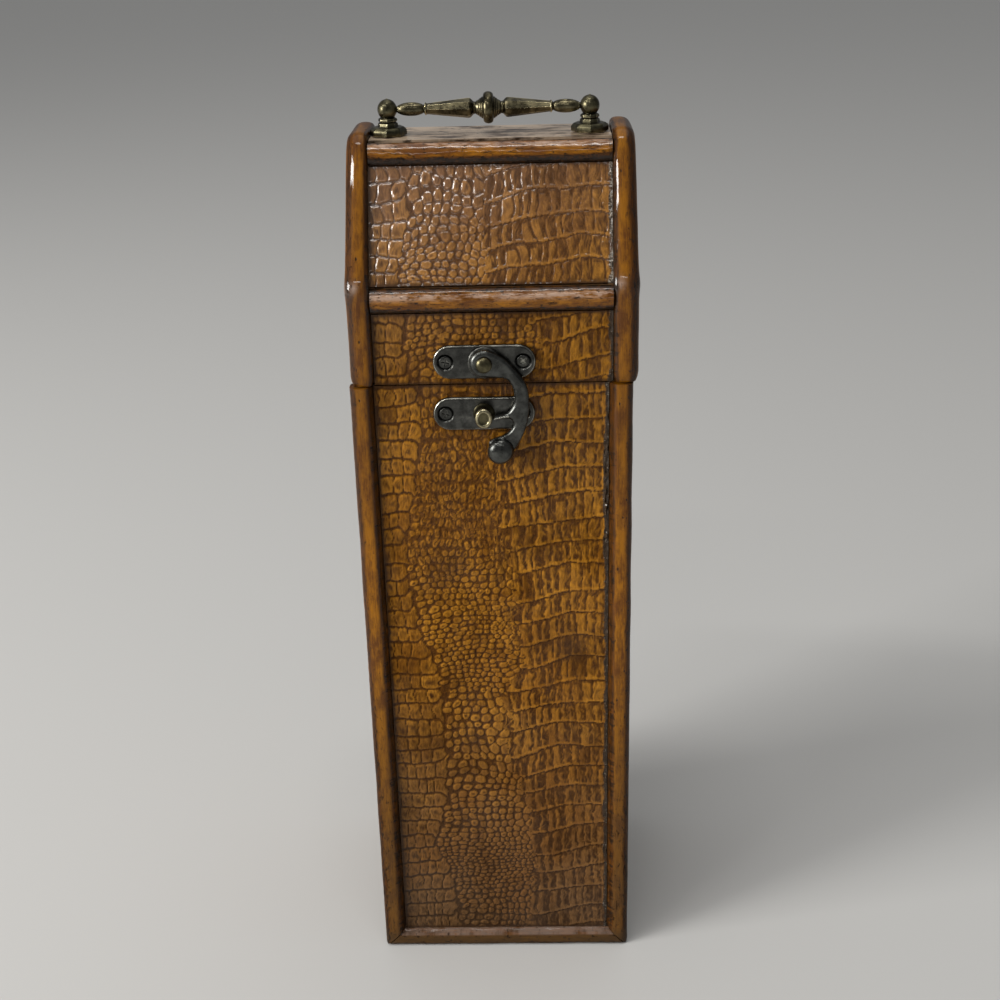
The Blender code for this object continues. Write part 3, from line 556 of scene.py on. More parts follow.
def ease(points, steps=4):
    """A profile in millimetres with its inner corners rounded."""
    points = [np.array(point, float) for point in points]
    eased = [points[0]]
    for before, here, after in zip(points, points[1:], points[2:]):
        reach = min(np.linalg.norm(before - here), np.linalg.norm(after - here)) * 0.35
        reach = min(reach, 0.4)
        eased += bend(before, here, after, reach, reach, steps)
    return [tuple(point) for point in eased + points[-1:]]


def turned(name, profile, place, axis, sides, shape=None):
    """A turned piece: heights and radii in millimetres along an axis; shape changes a radius."""
    turn = np.array(Vector((0, 0, 1)).rotation_difference(Vector(axis)).to_matrix())
    angles = np.linspace(0, 2 * np.pi, sides, endpoint=False)
    rings = []
    for height, radius in profile:
        reach = radius * (shape(height, angles) if shape else np.ones(sides))
        ring = [reach * np.cos(angles), reach * np.sin(angles), np.full(sides, height)]
        rings.append(np.array(place) + np.stack(ring, axis=-1) * MM @ turn.T)
    return skin(name, rings)


def facet(sides, soft=0.0):
    """Share of the radius that makes a polygon of a circle, a corner on the first angle."""
    wedge = math.pi / sides

    def share(angles):
        flat = np.cos(wedge) / np.cos(angles % (2 * wedge) - wedge)
        return flat + (1 - flat) * soft
    return share


# Embossed leather


class Layout:
    """How one panel is embossed, in millimetres over its height.

    Left of the middle zone lie small squarish scales in rows, in it rounded ones, and right of it
    tall ones in rows that climb away from the middle. Where net is low the middle has only strokes.
    """

    def __init__(self, heights, left, right, size, tall, net, left_row, right_row, first_rows):
        def course(values):
            return lambda v: np.interp(v, heights, values)
        self.left, self.right = course(left), course(right)
        self.size, self.tall, self.net = course(size), course(tall), course(net)
        self.left_row, self.right_row = left_row, right_row
        self.first_rows = first_rows


case_layout = Layout(
    heights=[8, 25, 45, 56, 80, 95, 110, 128, 142, 165, 190, 205, 235, 250, 270],
    left=[-21, -23, -27, -30, -25, -24, -26, -26, -27, -33, -38, -37, -32, -30, -30],
    right=[11, 12, 13, 12, 8, 5, 3, 0, 8, 7, 5, 2, 1, 1, 1],
    size=[3.4, 3.3, 2.6, 3.2, 3.9, 4.2, 4.2, 3.9, 3.3, 3.3, 3.1, 2.5, 2.5, 3.4, 4.2],
    tall=[1, 0.9, 0.7, 0.9, 1, 1.05, 1.1, 0.9, 0.7, 0.8, 1.1, 1.8, 2.0, 1.5, 1.3],
    net=[0.7, 0.8, 0.9, 1, 1, 1, 1, 1, 1, 0.9, 0.6, 0.15, 0.1, 0.3, 0.5],
    left_row=7.5, right_row=10.6, first_rows=(7.6, 3.8))
front_layout = Layout(
    heights=[270, 285, 311], left=[-34, -34, -34], right=[18, 18, 16], size=[4.0, 3.4, 3.2],
    tall=[1.0, 0.9, 0.9], net=[0.6, 0.8, 0.9], left_row=7.0, right_row=9.2,
    first_rows=(268.6, 266.4))
end_layout = Layout(
    heights=[270, 310, 362], left=[-24, -26, -24], right=[4, 3, 4], size=[4.2, 3.4, 3.8],
    tall=[1, 0.9, 1], net=[1, 1, 1], left_row=7.2, right_row=10, first_rows=(268, 266))
slope_layout = Layout(
    heights=[0, 12, 25, 36, 50], left=[-35, -34, -33, -32, -32], right=[-2, -2, -2, -3, -3],
    size=[3.3, 3.5, 3.8, 4.2, 4.4], tall=[1.0, 1.0, 1.15, 1.7, 1.9], net=[1, 1, 0.9, 0.6, 0.5],
    left_row=7.4, right_row=9.9, first_rows=(-1, -6))

SQUARISH, ROUNDED, TALL = 0, 0.5, 1


def lay_scales(layout, low, high, span, seed):
    """Sites of the scales: middle across, middle up, half width, half height, squareness, kind."""
    draw = np.random.default_rng(seed)
    sites = []
    for kind, square, pitch, edge, way, widths in (
            (SQUARISH, 5, layout.left_row, layout.left, -1, (3.5, 5.4)),
            (TALL, 8, layout.right_row, layout.right, 1, (2.8, 4.9))):
        v = layout.first_rows[kind]
        v -= pitch * math.ceil((v - low + pitch) / pitch)
        while v < high + pitch:
            row = pitch * draw.uniform(0.93, 1.07)
            u = edge(v + row / 2) + draw.uniform(-1.2, 1.2)
            while u * way < span:
                step = draw.uniform(*widths)
                sites.append((u + way * step / 2, v + row / 2, step / 2, row / 2, square, kind))
                u += way * step
            v += row
    v = low - 3
    while v < high + 3:
        size, tall = layout.size(v), layout.tall(v)
        u = layout.left(v) + draw.uniform(0, size)
        while u < layout.right(v):
            step = size * draw.uniform(0.82, 1.2)
            near_rows = smooth_step(14, 0, layout.right(v) - u)
            high_half = step / 2 * tall * (1 + 0.5 * near_rows) * draw.uniform(0.85, 1.1)
            sites.append((u + step / 2, v + draw.uniform(-0.2, 0.2) * size * tall, step / 2,
                          high_half, 2.3, ROUNDED))
            u += step
        v += size * tall * 0.9
    return np.array(sites)


def squarish_scales(at):
    """Relief and darkness of small squarish scales, with a raised lip along each row."""
    row_line = np.abs(at.rise) > np.abs(at.side)
    lip = hump(at.margin, 0.62, 0.26)
    relief = smooth_step(0.02, 0.5, at.margin) * (0.8 - 0.1 * at.inner ** 2) + 0.2 * lip * row_line
    dark = (1 - smooth_step(0.04, np.where(row_line, 0.42, 0.27), at.margin)) * 0.75
    dark += 0.24 + 0.8 * (at.grain - 0.5) - 0.30 * lip
    dark += 0.3 * smooth_step(0.6, 0.1, at.inner) * smooth_step(0.4, 0.9, at.luck)
    return relief, dark


def rounded_scales(at, net):
    """Relief and darkness of round scales, each with a ring, and of granules in the net between."""
    inside = smooth_step(0.96, 0.70, at.inner) * smooth_step(0.03, 0.36, at.margin)
    granule = smooth_step(0.8, 1.4, at.dots) * (1 - inside)
    ring = hump(at.inner, 0.60, 0.14)
    relief = inside * (0.85 - 0.3 * at.inner ** 2 + 0.15 * ring) + 0.35 * granule
    relief = relief * (0.45 + 0.55 * net) + (1 - net) * 0.4 * at.grain
    dark = (1 - inside) * 0.72 - 0.45 * granule + 0.16 + 0.3 * (at.grain - 0.5) - 0.25 * ring
    dark += 0.5 * smooth_step(0.45, 0.1, at.inner) * smooth_step(0.70, 0.95, at.luck)
    hair = smooth_step(0.48, 0.75, at.grain) * 0.6 - 0.35 * smooth_step(0.9, 1.5, at.dots)
    dark = net * dark + (1 - net) * (0.34 + hair + 0.25 * (1 - inside) - 0.3 * ring)
    return relief, dark


def tall_scales(at, u):
    """Relief and darkness of tall scales: a tooth each, a welt at the foot, a crease at the head."""
    foot, head = (at.rise + 1) * at.tall, (1 - at.rise) * at.tall
    plain = smooth_step(18, 36, u)
    tooth_right = -0.45 + 1.2 * at.breadth + 0.35 * (at.grain - 0.5) + smooth_step(1.9, 0.8, foot)
    tooth = smooth_step(-1.0, -0.8, at.side) * smooth_step(0.12, -0.12, at.side - tooth_right)
    tooth *= smooth_step(0.1, 0.7, head - 2.4 * at.length ** 2)
    tooth = tooth * (1 - 0.35 * plain) + 0.35 * plain
    welt, crease = hump(foot, 0.75, 0.32), hump(head, 0.05, 0.32)
    seam = hump((1 - np.abs(at.side)) * at.wide, 0, 0.2) * (1 - welt)
    relief = 0.25 + 0.40 * tooth + 0.30 * at.grain + 0.40 * welt - 0.35 * seam - 0.5 * crease
    # This darkness is partly the leather's two tones and partly painted light from the upper left: the
    # tooth is lighter on each scale's left side, with painted shade to its right and in the crease under
    # each welt.
    dark = 0.52 * (1 - tooth) * (0.45 + 1.0 * at.grain) + 0.75 * crease + 0.45 * seam - 0.4 * welt
    dark += 0.20 + 0.6 * (at.grain - 0.5)
    return relief, dark


def emboss(u, v, layout, span, seed):
    """Relief, darkness and tint of the leather, each 0 to 1, at points in millimetres."""
    sites = lay_scales(layout, v.min(), v.max(), span, seed)
    climb = 5.2 * smooth_step(0, 28, u - layout.right(v))
    climb = climb - 1.6 * smooth_step(0, 12, layout.left(v) - u + 10)
    u_at = u + 0.9 * ripple(u, v, seed + 5, 24) + 0.28 * ripple(u, v, seed + 7, 6)
    v_at = v + 0.8 * ripple(u, v, seed + 6, 26) + 0.22 * ripple(u, v, seed + 8, 7) - climb
    stroke = 0.5 + 0.3 * ripple(u_at * 5 + 4 * ripple(u, v, seed + 12, 9), v_at * 0.9, seed + 9, 5, 12)
    speck = ripple(u * 4, v * 4, seed + 10, 5, 9)
    chance = np.random.default_rng(seed + 11).uniform(0, 1, (3, len(sites)))
    relief, dark, tint = np.zeros((3, len(u)))
    order = np.argsort(v_at)
    batch, reach = 1500, 10
    for start in range(0, len(order), batch):
        here = order[start:start + batch]
        lowest, highest = v_at[here].min() - reach, v_at[here].max() + reach
        near = np.flatnonzero((sites[:, 1] > lowest) & (sites[:, 1] < highest))
        middle_u, middle_v, wide, tall, square, kind = sites[near].T
        across = (u_at[here, None] - middle_u) / wide
        up = (v_at[here, None] - middle_v) / tall
        away = (np.abs(across) ** square + np.abs(up) ** square) ** (1 / square)
        rows = np.arange(len(here))
        first = away.argmin(1)
        inner = away[rows, first]
        away[rows, first] = np.inf
        wide, tall, kind = wide[first], tall[first], kind[first]
        luck, breadth, length = chance[:, near[first]]
        at = SimpleNamespace(
            side=across[rows, first], rise=up[rows, first], inner=inner, wide=wide, tall=tall,
            margin=(away.min(1) - inner) * np.minimum(wide, tall) / 2,
            luck=luck, breadth=breadth, length=length, grain=stroke[here], dots=speck[here])
        looks = squarish_scales(at), tall_scales(at, u[here]), rounded_scales(at, layout.net(v[here]))
        for surface, (*edge_scales, middle_scales) in zip((relief, dark), zip(*looks)):
            surface[here] = np.select([kind == SQUARISH, kind == TALL], edge_scales, middle_scales)
        tint[here] = luck
    return np.clip(relief, 0, 1), np.clip(dark, 0, 1), tint


def leather_panel(name, edges, low, high, place, body, fineness, seed, layout, shift=0,
                  finish=leather, deep=0.50 * MM):
    """An embossed panel of the leather. edges gives its left and right edge at a height, place
    turns across, up and out into a point of the box, and shift moves the pattern in millimetres."""
    up = np.linspace(low, high, round((high - low) / fineness) + 1)
    left, right = np.array([edges(v) for v in up]).T[..., None]
    count = round((right - left).max() / fineness)
    u = left + (right - left) * np.linspace(0, 1, count + 1)
    v = np.repeat(up[:, None], count + 1, axis=1)
    u_mm, v_mm = u / MM, v / MM
    relief, dark, tint = (surface.reshape(u.shape) for surface in emboss(
        u_mm.ravel() + shift, v_mm.ravel(), layout, 50 + abs(shift), seed))
    edge = np.minimum.reduce([u - left, right - u, v - low, high - v]) / MM
    glue_height, glue_spread = 226, 26
    glue = smooth_step(3.8, 0.2, (right - u) / MM)
    glue *= 0.80 + 0.62 * hump(v_mm, glue_height, glue_spread)
    depth = -deep * (1 - relief) * smooth_step(-0.3, 1.2, edge)
    depth += 0.25 * MM * glue ** 2 * (0.5 + ripple(u_mm * 3, v_mm * 2, seed + 2, 6))
    depth -= 0.10 * MM * (1 + ripple(u_mm, v_mm, seed + 1, 30)) * smooth_step(0, 6, edge)
    piece = lay_grid(name + "_shown", place(u, v, depth), {
        "dark": dark, "tone": tint, "edge_darkening": np.exp(-np.maximum(edge, 0) / 1.5), "glue": glue})
    zero = np.zeros((1, 1))
    inwards = (place(zero, zero, zero - leather_thick) - place(zero, zero, zero))[0, 0]
    edit(piece, "EDGE")
    bpy.ops.mesh.region_to_loop()
    bpy.ops.mesh.extrude_edges_move(TRANSFORM_OT_translate={"value": tuple(inwards)})
    close_up()
    finish_piece(piece, finish, body, angle=60)


# The lid's outline


def roof_corner(index, depth):
    """Corner of the lid's side outline, moved in by a depth: 0 front seam .. 5 back seam."""
    half = min(index, 5 - index)
    side = -1 if index < 3 else 1
    if half == 0:
        y, z = half_depth - depth, lid_bottom
    elif half == 1:
        y, z = half_depth - depth, roof_foot - depth * math.tan((QUARTER - roof_angle) / 2)
    else:
        y, z = half_depth - roof_run - depth * math.tan(roof_angle / 2), roof_top - depth
    return np.array([side * y, z])


def roof_side(index):
    """One run of that outline under the mouldings: its start, its end, its way and its way out."""
    start, end = roof_corner(index, moulding), roof_corner(index + 1, moulding)
    way = unit(end - start)
    return start, end, way, np.array([-way[1], way[0]])


def between_rims(z):
    """Left and right limits, at a height, of what lies between the rims."""
    share = np.clip((z - roof_foot) / roof_rise, 0, 1)
    inset = half_width - (rim_width + (rim_top_width - rim_width) * share) - gap
    return lid_shift - inset, lid_shift + inset


# Wooden mouldings


def wobble(section, along, seed, size):
    """Small hand-made unevenness of a moulding: one shift for each ring and point."""
    around = np.linspace(0, 2 * np.pi, section, endpoint=False)[None, :]
    u, v = np.cos(around) * 6 + along[:, None] / MM, np.sin(around) * 6
    return size * (0.7 * ripple(u, v, seed, 26) + 0.3 * ripple(u, v, seed + 50, 5))


def grain_mark(across, along, seed):
    """The place of each point in the wood, in millimetres across and along the grain."""
    across, along = np.broadcast_arrays(across, along)
    return np.stack([across, along, np.full(along.shape, seed * 37.0)], axis=-1)


def strip_outline(leg, proud):
    """Section of a strip on an edge of the case, as distances from that edge along both sides."""
    bevel, drop = 2.1 * MM, 2.7 * MM
    corners = [(-proud, leg - bevel), (-proud, -overhang), (leg - bevel, -overhang), (leg, drop),
               (leg, moulding), (moulding, moulding), (moulding, leg), (drop, leg)]
    return rounded(corners, [v * MM for v in (1.6, 3.6, 1.6, 0.6, 0, 0, 0, 0.6)], 8)


def strip_piece(name, corner, ways, length, leg, is_base, seed):
    """An L-shaped strip along an edge of the case, mitred where it meets its neighbours."""
    outline = strip_outline(leg, 0 if is_base else overhang)
    across = outline.max(axis=1)
    share = np.linspace(0, 1, int(length / (2 * MM)) + 1)[:, None]
    start = across + gap
    along = start + ((length - start if is_base else length) - start) * share
    shown = outline.min(axis=1) < 3.2 * MM
    uneven = wobble(len(outline), share[:, 0] * length, seed, 0.09 * MM) * shown
    section = outline + unit(outline - outline.mean(axis=0)) * uneven[..., None]
    section[..., 0] = np.maximum(section[..., 0], 0 if is_base else -2 * overhang)
    u_way, v_way, run = np.array(ways, float)
    rings = (np.array(corner) + section[..., :1] * u_way + section[..., 1:] * v_way
             + along[..., None] * run)
    flat, edge = across / MM, leg / MM
    # Darker on the outer rounding and the inner bevel, partly stain and partly painted shade; the base
    # strips' bevel carries a line of painted highlight.
    outer = 1 - smooth_step(-0.5, 3.6, flat)
    inner = 0.8 * smooth_step(edge - 3.6, edge - 1.2, flat)
    piece = skin(name + "_shown", rings, stain=np.maximum(outer, inner),
                 grain=grain_mark((outline[:, 0] - outline[:, 1]) / MM, along / MM, seed),
                 rubbed=is_base * smooth_step(edge - 2.6, edge - 1.7, flat))
    finish_piece(piece, wood, "box")


def case_mouldings():
    """Corner strips, and base strips between them, round the case."""
    seed = 1
    for y_side, y_word in ((-1, "front"), (1, "back")):
        for x_side, x_word in SIDES:
            seed += 1
            strip_piece(f"corner_strip_{y_word}_{x_word}", (x_side * half_width, y_side * half_depth, 0),
                        ((-x_side, 0, 0), (0, -y_side, 0), (0, 0, 1)), case_height, strip_width,
                        False, seed)
        seed += 1
        strip_piece(f"base_strip_{y_word}", (-half_width, y_side * half_depth, 0),
                    ((0, 0, 1), (0, -y_side, 0), (1, 0, 0)), 2 * half_width, base_width, True, seed)
    for x_side, x_word in SIDES:
        seed += 1
        strip_piece(f"base_strip_{x_word}", (x_side * half_width, -half_depth, 0),
                    ((0, 0, 1), (-x_side, 0, 0), (0, 1, 0)), 2 * half_depth, base_width, True, seed)


def rim_run(side, across, depth):
    """The course of one point of a rim's section over the lid, bent at the four upper corners."""
    edge = lid_shift + side * half_width
    radius = 6.0 * MM
    pull = (rim_width - rim_top_width) * max(across - moulding, 0) / (rim_width - moulding)
    path = [np.array([edge - side * (across - (pull if i in (2, 3) else 0)), *roof_corner(i, depth)])
            for i in range(6)]
    course = [path[0]]
    for i in range(1, 6):
        turn = bend(path[i - 1], path[i], path[i + 1], radius, radius, 9) if i < 5 else path[5:]
        last = course[-1]
        course += [last + (turn[0] - last) * t for t in np.linspace(0, 1, 19)[1:]] + turn[1:]
    return course


def rim_piece(name, side, spread, seed):
    """A rounded strip bent over one end of the lid, with a knuckle at each lower bend."""
    outline = rounded([(-spread, rim_width), (-spread, 0), (rim_width, 0), (rim_width, moulding),
                       (moulding, moulding), (moulding, rim_width)],
                      [v * MM for v in (3.0, 5.0, 4.4, 0, 0, 0)], 12)
    rings = np.array([rim_run(side, *point) for point in outline]).transpose(1, 0, 2)
    middle = rings.mean(axis=1)
    along = np.concatenate([[0], np.cumsum(np.linalg.norm(np.diff(middle, axis=0), axis=1))])
    knuckle, knuckle_rise, knuckle_reach, knuckle_drop = 0, 0.45 * MM, 3.8 * MM, 1.2 * MM
    for corner in (1, 4):
        y, z = roof_corner(corner, 0)
        away = np.hypot(middle[:, 1] - y * 0.93, middle[:, 2] - z + knuckle_drop)
        knuckle = knuckle + hump(away, 0, knuckle_reach)[:, None]
    bent = knuckle / knuckle.max()
    tuck = 0.9 * MM * hump(np.minimum(along, along[-1] - along), 0, 1.6 * MM)
    push = wobble(len(outline), along, seed, 0.07 * MM) * (1 - bent)
    push += knuckle_rise * knuckle - tuck[:, None]
    shown = outline.min(axis=1) < 3.4 * MM
    rings = rings + unit(rings - middle[:, None]) * (push * shown)[..., None]
    rings[:, :, 2] = np.maximum(rings[:, :, 2], lid_bottom)
    flat = outline.max(axis=1) / MM
    # Darker on the outer rounding and the inner side, partly stain and partly painted shade; a spot of
    # painted highlight lies on each knuckle.
    stain = np.maximum(1 - smooth_step(-0.5, 4.0, flat), smooth_step(5.4, 8.2, flat))
    piece = skin(name + "_shown", rings, stain=stain + 0.35 * bent,
                 grain=grain_mark((outline[:, 0] - outline[:, 1]) / MM, along[:, None] / MM, seed),
                 rubbed=3.4 * hump(flat, 4.1 + 1.3 * side, 1.3) * (0.91 * bent) ** 4,
                 lacquer=0.98 * bent)
    finish_piece(piece, wood, "lid")


def rail_piece(name, index, seed):
    """A half-round rail between the rims, at the upper end of a run of the lid's outline."""
    start, end, way, out = roof_side(index)
    foot = start + way * gap if index > 2 else end - way * (gap + rail_width)
    side_rise = 0.4 * MM
    across = rail_width / 2 * (1 - np.cos(np.linspace(0, np.pi, 27)))
    rise = side_rise + (moulding - side_rise) * np.sin(np.linspace(0, np.pi, 27)) ** 0.95
    across = np.concatenate([[0], across, [rail_width]])
    rise = np.concatenate([[0], rise, [0]])
    share = np.linspace(0, 1, 111)
    uneven = wobble(len(across), share * rail_length, seed, 0.14 * MM)
    rise = rise + uneven * (rise > 0.6 * MM)
    y, z = (foot[i] + way[i] * across + out[i] * rise for i in (0, 1))
    left, right = between_rims(z)
    rings = np.stack([left + (right - left) * share[:, None], y, z], axis=-1)
    flat = across / rail_width
    # Darker along both edges and at the ends, partly stain and partly painted shade on the underside and
    # where the rail meets the rims; a band on the upper part carries a painted highlight.
    low_edge = smooth_step(0.36, 0.06, flat) * 1.2
    high_edge = smooth_step(0.75, 0.98, flat) * 0.8
    ends = 0.5 * np.exp(-np.minimum(share, 1 - share)[:, None] * rail_length / (2.5 * MM))
    rubbed = hump(flat, 0.72, 0.13)
    piece = skin(name + "_shown", rings, stain=np.maximum(low_edge, high_edge) + ends,
                 grain=grain_mark(flat * 12, share[:, None] * rail_length / MM, seed),
                 rubbed=rubbed, lacquer=rubbed * 0.7)
    finish_piece(piece, worn_wood, "lid")


def lid_mouldings():
    """Rims over both ends of the lid and rails between them."""
    rim_piece("lid_left_rim", -1, 0.9 * MM, 21)
    rim_piece("lid_right_rim", 1, 1.3 * MM, 22)
    rail_piece("lid_front_bend_rail", 0, 31)
    rail_piece("lid_front_top_rail", 1, 32)
    rail_piece("lid_back_top_rail", 3, 33)
    rail_piece("lid_back_bend_rail", 4, 34)


# Leather panels in their places


def facing_front(y_side):
    """Across, up and out for the front or the back."""
    face = half_depth - leather_face
    return lambda u, v, out: np.stack([-y_side * u, y_side * (face + out), v], axis=-1)


def facing_side(x_side, shift=0):
    """Across, up and out for the left or the right side."""
    face = half_width - leather_face
    return lambda u, v, out: np.stack([shift + x_side * (face + out), x_side * u, v], axis=-1)


def case_leather():
    """The leather on the case's four sides."""
    panel_x = half_width - strip_width - gap
    panel_y = half_depth - strip_width - gap
    panel_low = base_width + gap
    for word, y_side, fineness, shift in (("front", -1, 0.5 * MM, 0), ("back", 1, 0.8 * MM, 6)):
        leather_panel(f"{word}_leather", lambda v: (-panel_x, panel_x), panel_low, case_height,
                      facing_front(y_side), "box", fineness, 40 + y_side, case_layout, shift)
    for x_side, word in SIDES:
        leather_panel(f"{word}_leather", lambda v: (-panel_y, panel_y), panel_low, case_height,
                      facing_side(x_side), "box", 0.8 * MM, 50 + x_side, case_layout, 9 * x_side)


def roof_panel(name, index, seed, fineness, layout, shift=0):
    """Leather on one run of the lid's outline, from its lower end to beside its rail."""
    start, end, way, out_way = roof_side(index)
    length = np.linalg.norm(end - start)
    behind, sloping = index > 2, index in (1, 3)
    side = -1 if behind else 1
    base = 0 if sloping else lid_bottom
    mitre = gap / 2 / math.cos((QUARTER - roof_angle) / 2) if sloping else 0
    finish, deep = (sheen_leather, 0.36 * MM) if sloping else (leather, 0.50 * MM)

    def along(v):
        return length - (v - base) if behind else v - base

    def place(u, v, out):
        proud = moulding - leather_face + out
        y, z = (start[i] + way[i] * along(v) + out_way[i] * proud for i in (0, 1))
        return np.stack([side * u, y, z], axis=-1)

    def edges(v):
        return sorted(side * e for e in between_rims(start[1] + way[1] * along(v)))

    leather_panel(name, edges, base + mitre, base + length - rail_width - 2 * gap, place, "lid",
                  fineness, seed, layout, shift, finish, deep)


def lid_leather():
    """The leather on the lid's front, slopes, back and ends."""
    roof_panel("lid_front_leather", 0, 61, 0.5 * MM, front_layout)
    roof_panel("lid_front_slope_leather", 1, 62, 0.42 * MM, slope_layout)
    roof_panel("lid_back_slope_leather", 3, 63, 0.7 * MM, slope_layout, 5)
    roof_panel("lid_back_leather", 4, 64, 0.7 * MM, front_layout, 5)
    y, z = np.array([roof_corner(i, rim_width + gap) for i in range(3)]).T
    for x_side, word in SIDES:
        leather_panel(f"lid_{word}_leather", lambda v: (np.interp(v, z, y), np.interp(v, z, -y)),
                      lid_bottom, z[2], facing_side(x_side, lid_shift), "lid", 0.8 * MM,
                      70 + x_side, end_layout)


# Latch


def plate_ring(x, z, inset):
    """Points round a plate with round ends, moved in by an inset, as seen from the front."""
    reach, radius = plate_reach - plate_radius, plate_radius - inset
    return [(x + side * (reach + radius * math.cos(t)), z + side * radius * math.sin(t))
            for side in (1, -1) for t in np.linspace(-QUARTER, QUARTER, 24)]


def latch_plate(name, x, z, body, bossed):
    """A plate with round ends and a pressed, rounded rim, sunk for its two screws."""
    # Inset, rise and wear of each ring, from the back to the face
    steps = ((0.3, 0, 0), (0, 0.3, 0), (0, 0.7, 0.1), (0.15, 1.05, 0.4), (0.35, 1.28, 0.74),
             (0.75, 1.46, 0.5), (1.05, 1.5, 0.2), (1.3, 1.5, 0), (2.2, 1.5, 0))
    rings = [[(px, plate_back - rise * MM, pz) for px, pz in plate_ring(x, z, inset * MM)]
             for inset, rise, _ in steps]
    piece = skin(name + "_shown", rings, wear=np.array([[rubbed] for _, _, rubbed in steps]))
    if bossed:
        boss = ease([(-0.2, 6.4), (0.8, 6.4), (1.2, 5.9), (1.2, 0)])
        cut(piece, turned("boss", boss, (x, plate_front, z), (0, -1, 0), 64), "UNION")
    sink = ease([(-0.2, 3.6), (0.1, 3.3), (0.5, 2.9), (0.9, 2.75), (0.9, 0)])
    boss_edge, sink_from, sink_to = 5.7, 2.6, 3.5
    for side in (-1, 1):
        cut(piece, turned("sink", sink, (x + side * screw_reach, plate_front, z), (0, 1, 0), 48))
    wear = np.zeros(len(piece.data.vertices), np.float32)
    piece.data.attributes["wear"].data.foreach_get("value", wear)
    across, deep, up = ((points_of(piece) - (x, plate_front, z)) / MM).T
    wear[(deep < -0.3) & (np.hypot(across, up) > boss_edge)] = 0.55
    for side in (-1, 1):
        hole = np.hypot(across - side * screw_reach / MM, up)
        wear[(hole > sink_from) & (hole < sink_to)] = 0.5
    write_age(piece, wear)
    finish_piece(piece, gunmetal, body, angle=30)


def latch_screw(name, x, z, body):
    """A countersunk screw head with a crossed recess, on its shank."""
    profile = ease([(0.25, 0), (0.25, 2.3), (0.6, 2.6), (1.2, 1.2), (7, 1.2), (8, 0)])
    piece = turned(name + "_shown", profile, (x, plate_front, z), (0, 1, 0), 48)
    turn = 0.85 if "right" in name else 0.25
    for quarter in (0, QUARTER):
        cut(piece, slot_tool((x, plate_front + 0.3 * MM, z), (3.2, 1.6, 0.75), turn + quarter))
    across, deep, up = ((points_of(piece) - (x, plate_front, z)) / MM).T
    away = np.hypot(across, up)
    write_age(piece, (0.35 + 0.35 * (away < 1.7)) * ((away > 2.2) | (away < 1.7)) * (deep < 0.7),
              smooth_step(0.5, 0.9, deep) * (away < 1.8))
    finish_piece(piece, gunmetal, body, angle=30)


def smooth_curve(points, steps=5):
    """An open curve that passes smoothly through its points."""
    points = np.asarray(points, float)
    ends = np.vstack([2 * points[0] - points[1], points, 2 * points[-1] - points[-2]])
    curve = []
    for a, b, c, d in zip(ends, ends[1:], ends[2:], ends[3:]):
        for t in np.linspace(0, 1, steps, endpoint=False):
            curve.append(0.5 * (2 * b + (c - a) * t + (2 * a - 5 * b + 4 * c - d) * t ** 2
                                + (3 * b - a - 3 * c + d) * t ** 3))
    return curve + [points[-1]]


def hook_outline():
    """The hook seen from the front, in millimetres from its pivot, the ball's side first."""
    back = [(8.8, -38.6), (11.2, -35.4), (13.4, -31.8), (15.2, -28.0), (16.4, -24.2), (17.1, -20.4),
            (17.3, -16.3), (17.1, -12.2), (16.1, -8.3), (14.4, -5.3), (10.4, -0.5), (8, 1.9),
            (5.3, 3.7), (2.75, 4.76)]
    eye = [(5.5 * math.cos(t), 5.5 * math.sin(t)) for t in np.linspace(1.14, 4.62, 22)]
    inner = [(2.4, -5.6), (5.4, -5.7), (7.8, -6.0), (9.4, -7.1), (10.7, -9.4), (11.35, -12),
             (11.45, -14.6), (10.9, -16.9), (9.7, -18.8)]
    beak = [(21.7 * math.cos(t), 21.7 * math.sin(t)) for t in np.radians([-67, -72, -77, -81])]
    under = [(2.9, -22.2), (3.3, -23.0), (5.6, -22.6), (8.2, -22.3), (10.1, -22.9), (10.9, -24.4),
             (10.4, -26), (8.8, -28.0), (6.4, -29.4), (3.6, -30.3), (1.2, -31.8), (0.9, -33.8)]
    return np.array(smooth_curve(back)[:-1] + [np.array(point) for point in eye[1:-1]]
                    + smooth_curve(inner + beak) + smooth_curve(under))


def hook_ball():
    """The flattened ball at the hook's end."""
    deselect()
    bpy.ops.mesh.primitive_uv_sphere_add(segments=48, ring_count=24, radius=5.1 * MM)
    ball = bpy.context.object
    edit(ball)
    bpy.ops.transform.resize(value=(1, 0.66, 1.06))
    bpy.ops.transform.rotate(value=-0.6, orient_axis="Y", center_override=(0, 0, 0))
    bpy.ops.transform.translate(value=(pivot_x + 5.6 * MM, ball_y, pivot_z - 35.8 * MM))
    bpy.ops.object.mode_set(mode="OBJECT")
    return ball


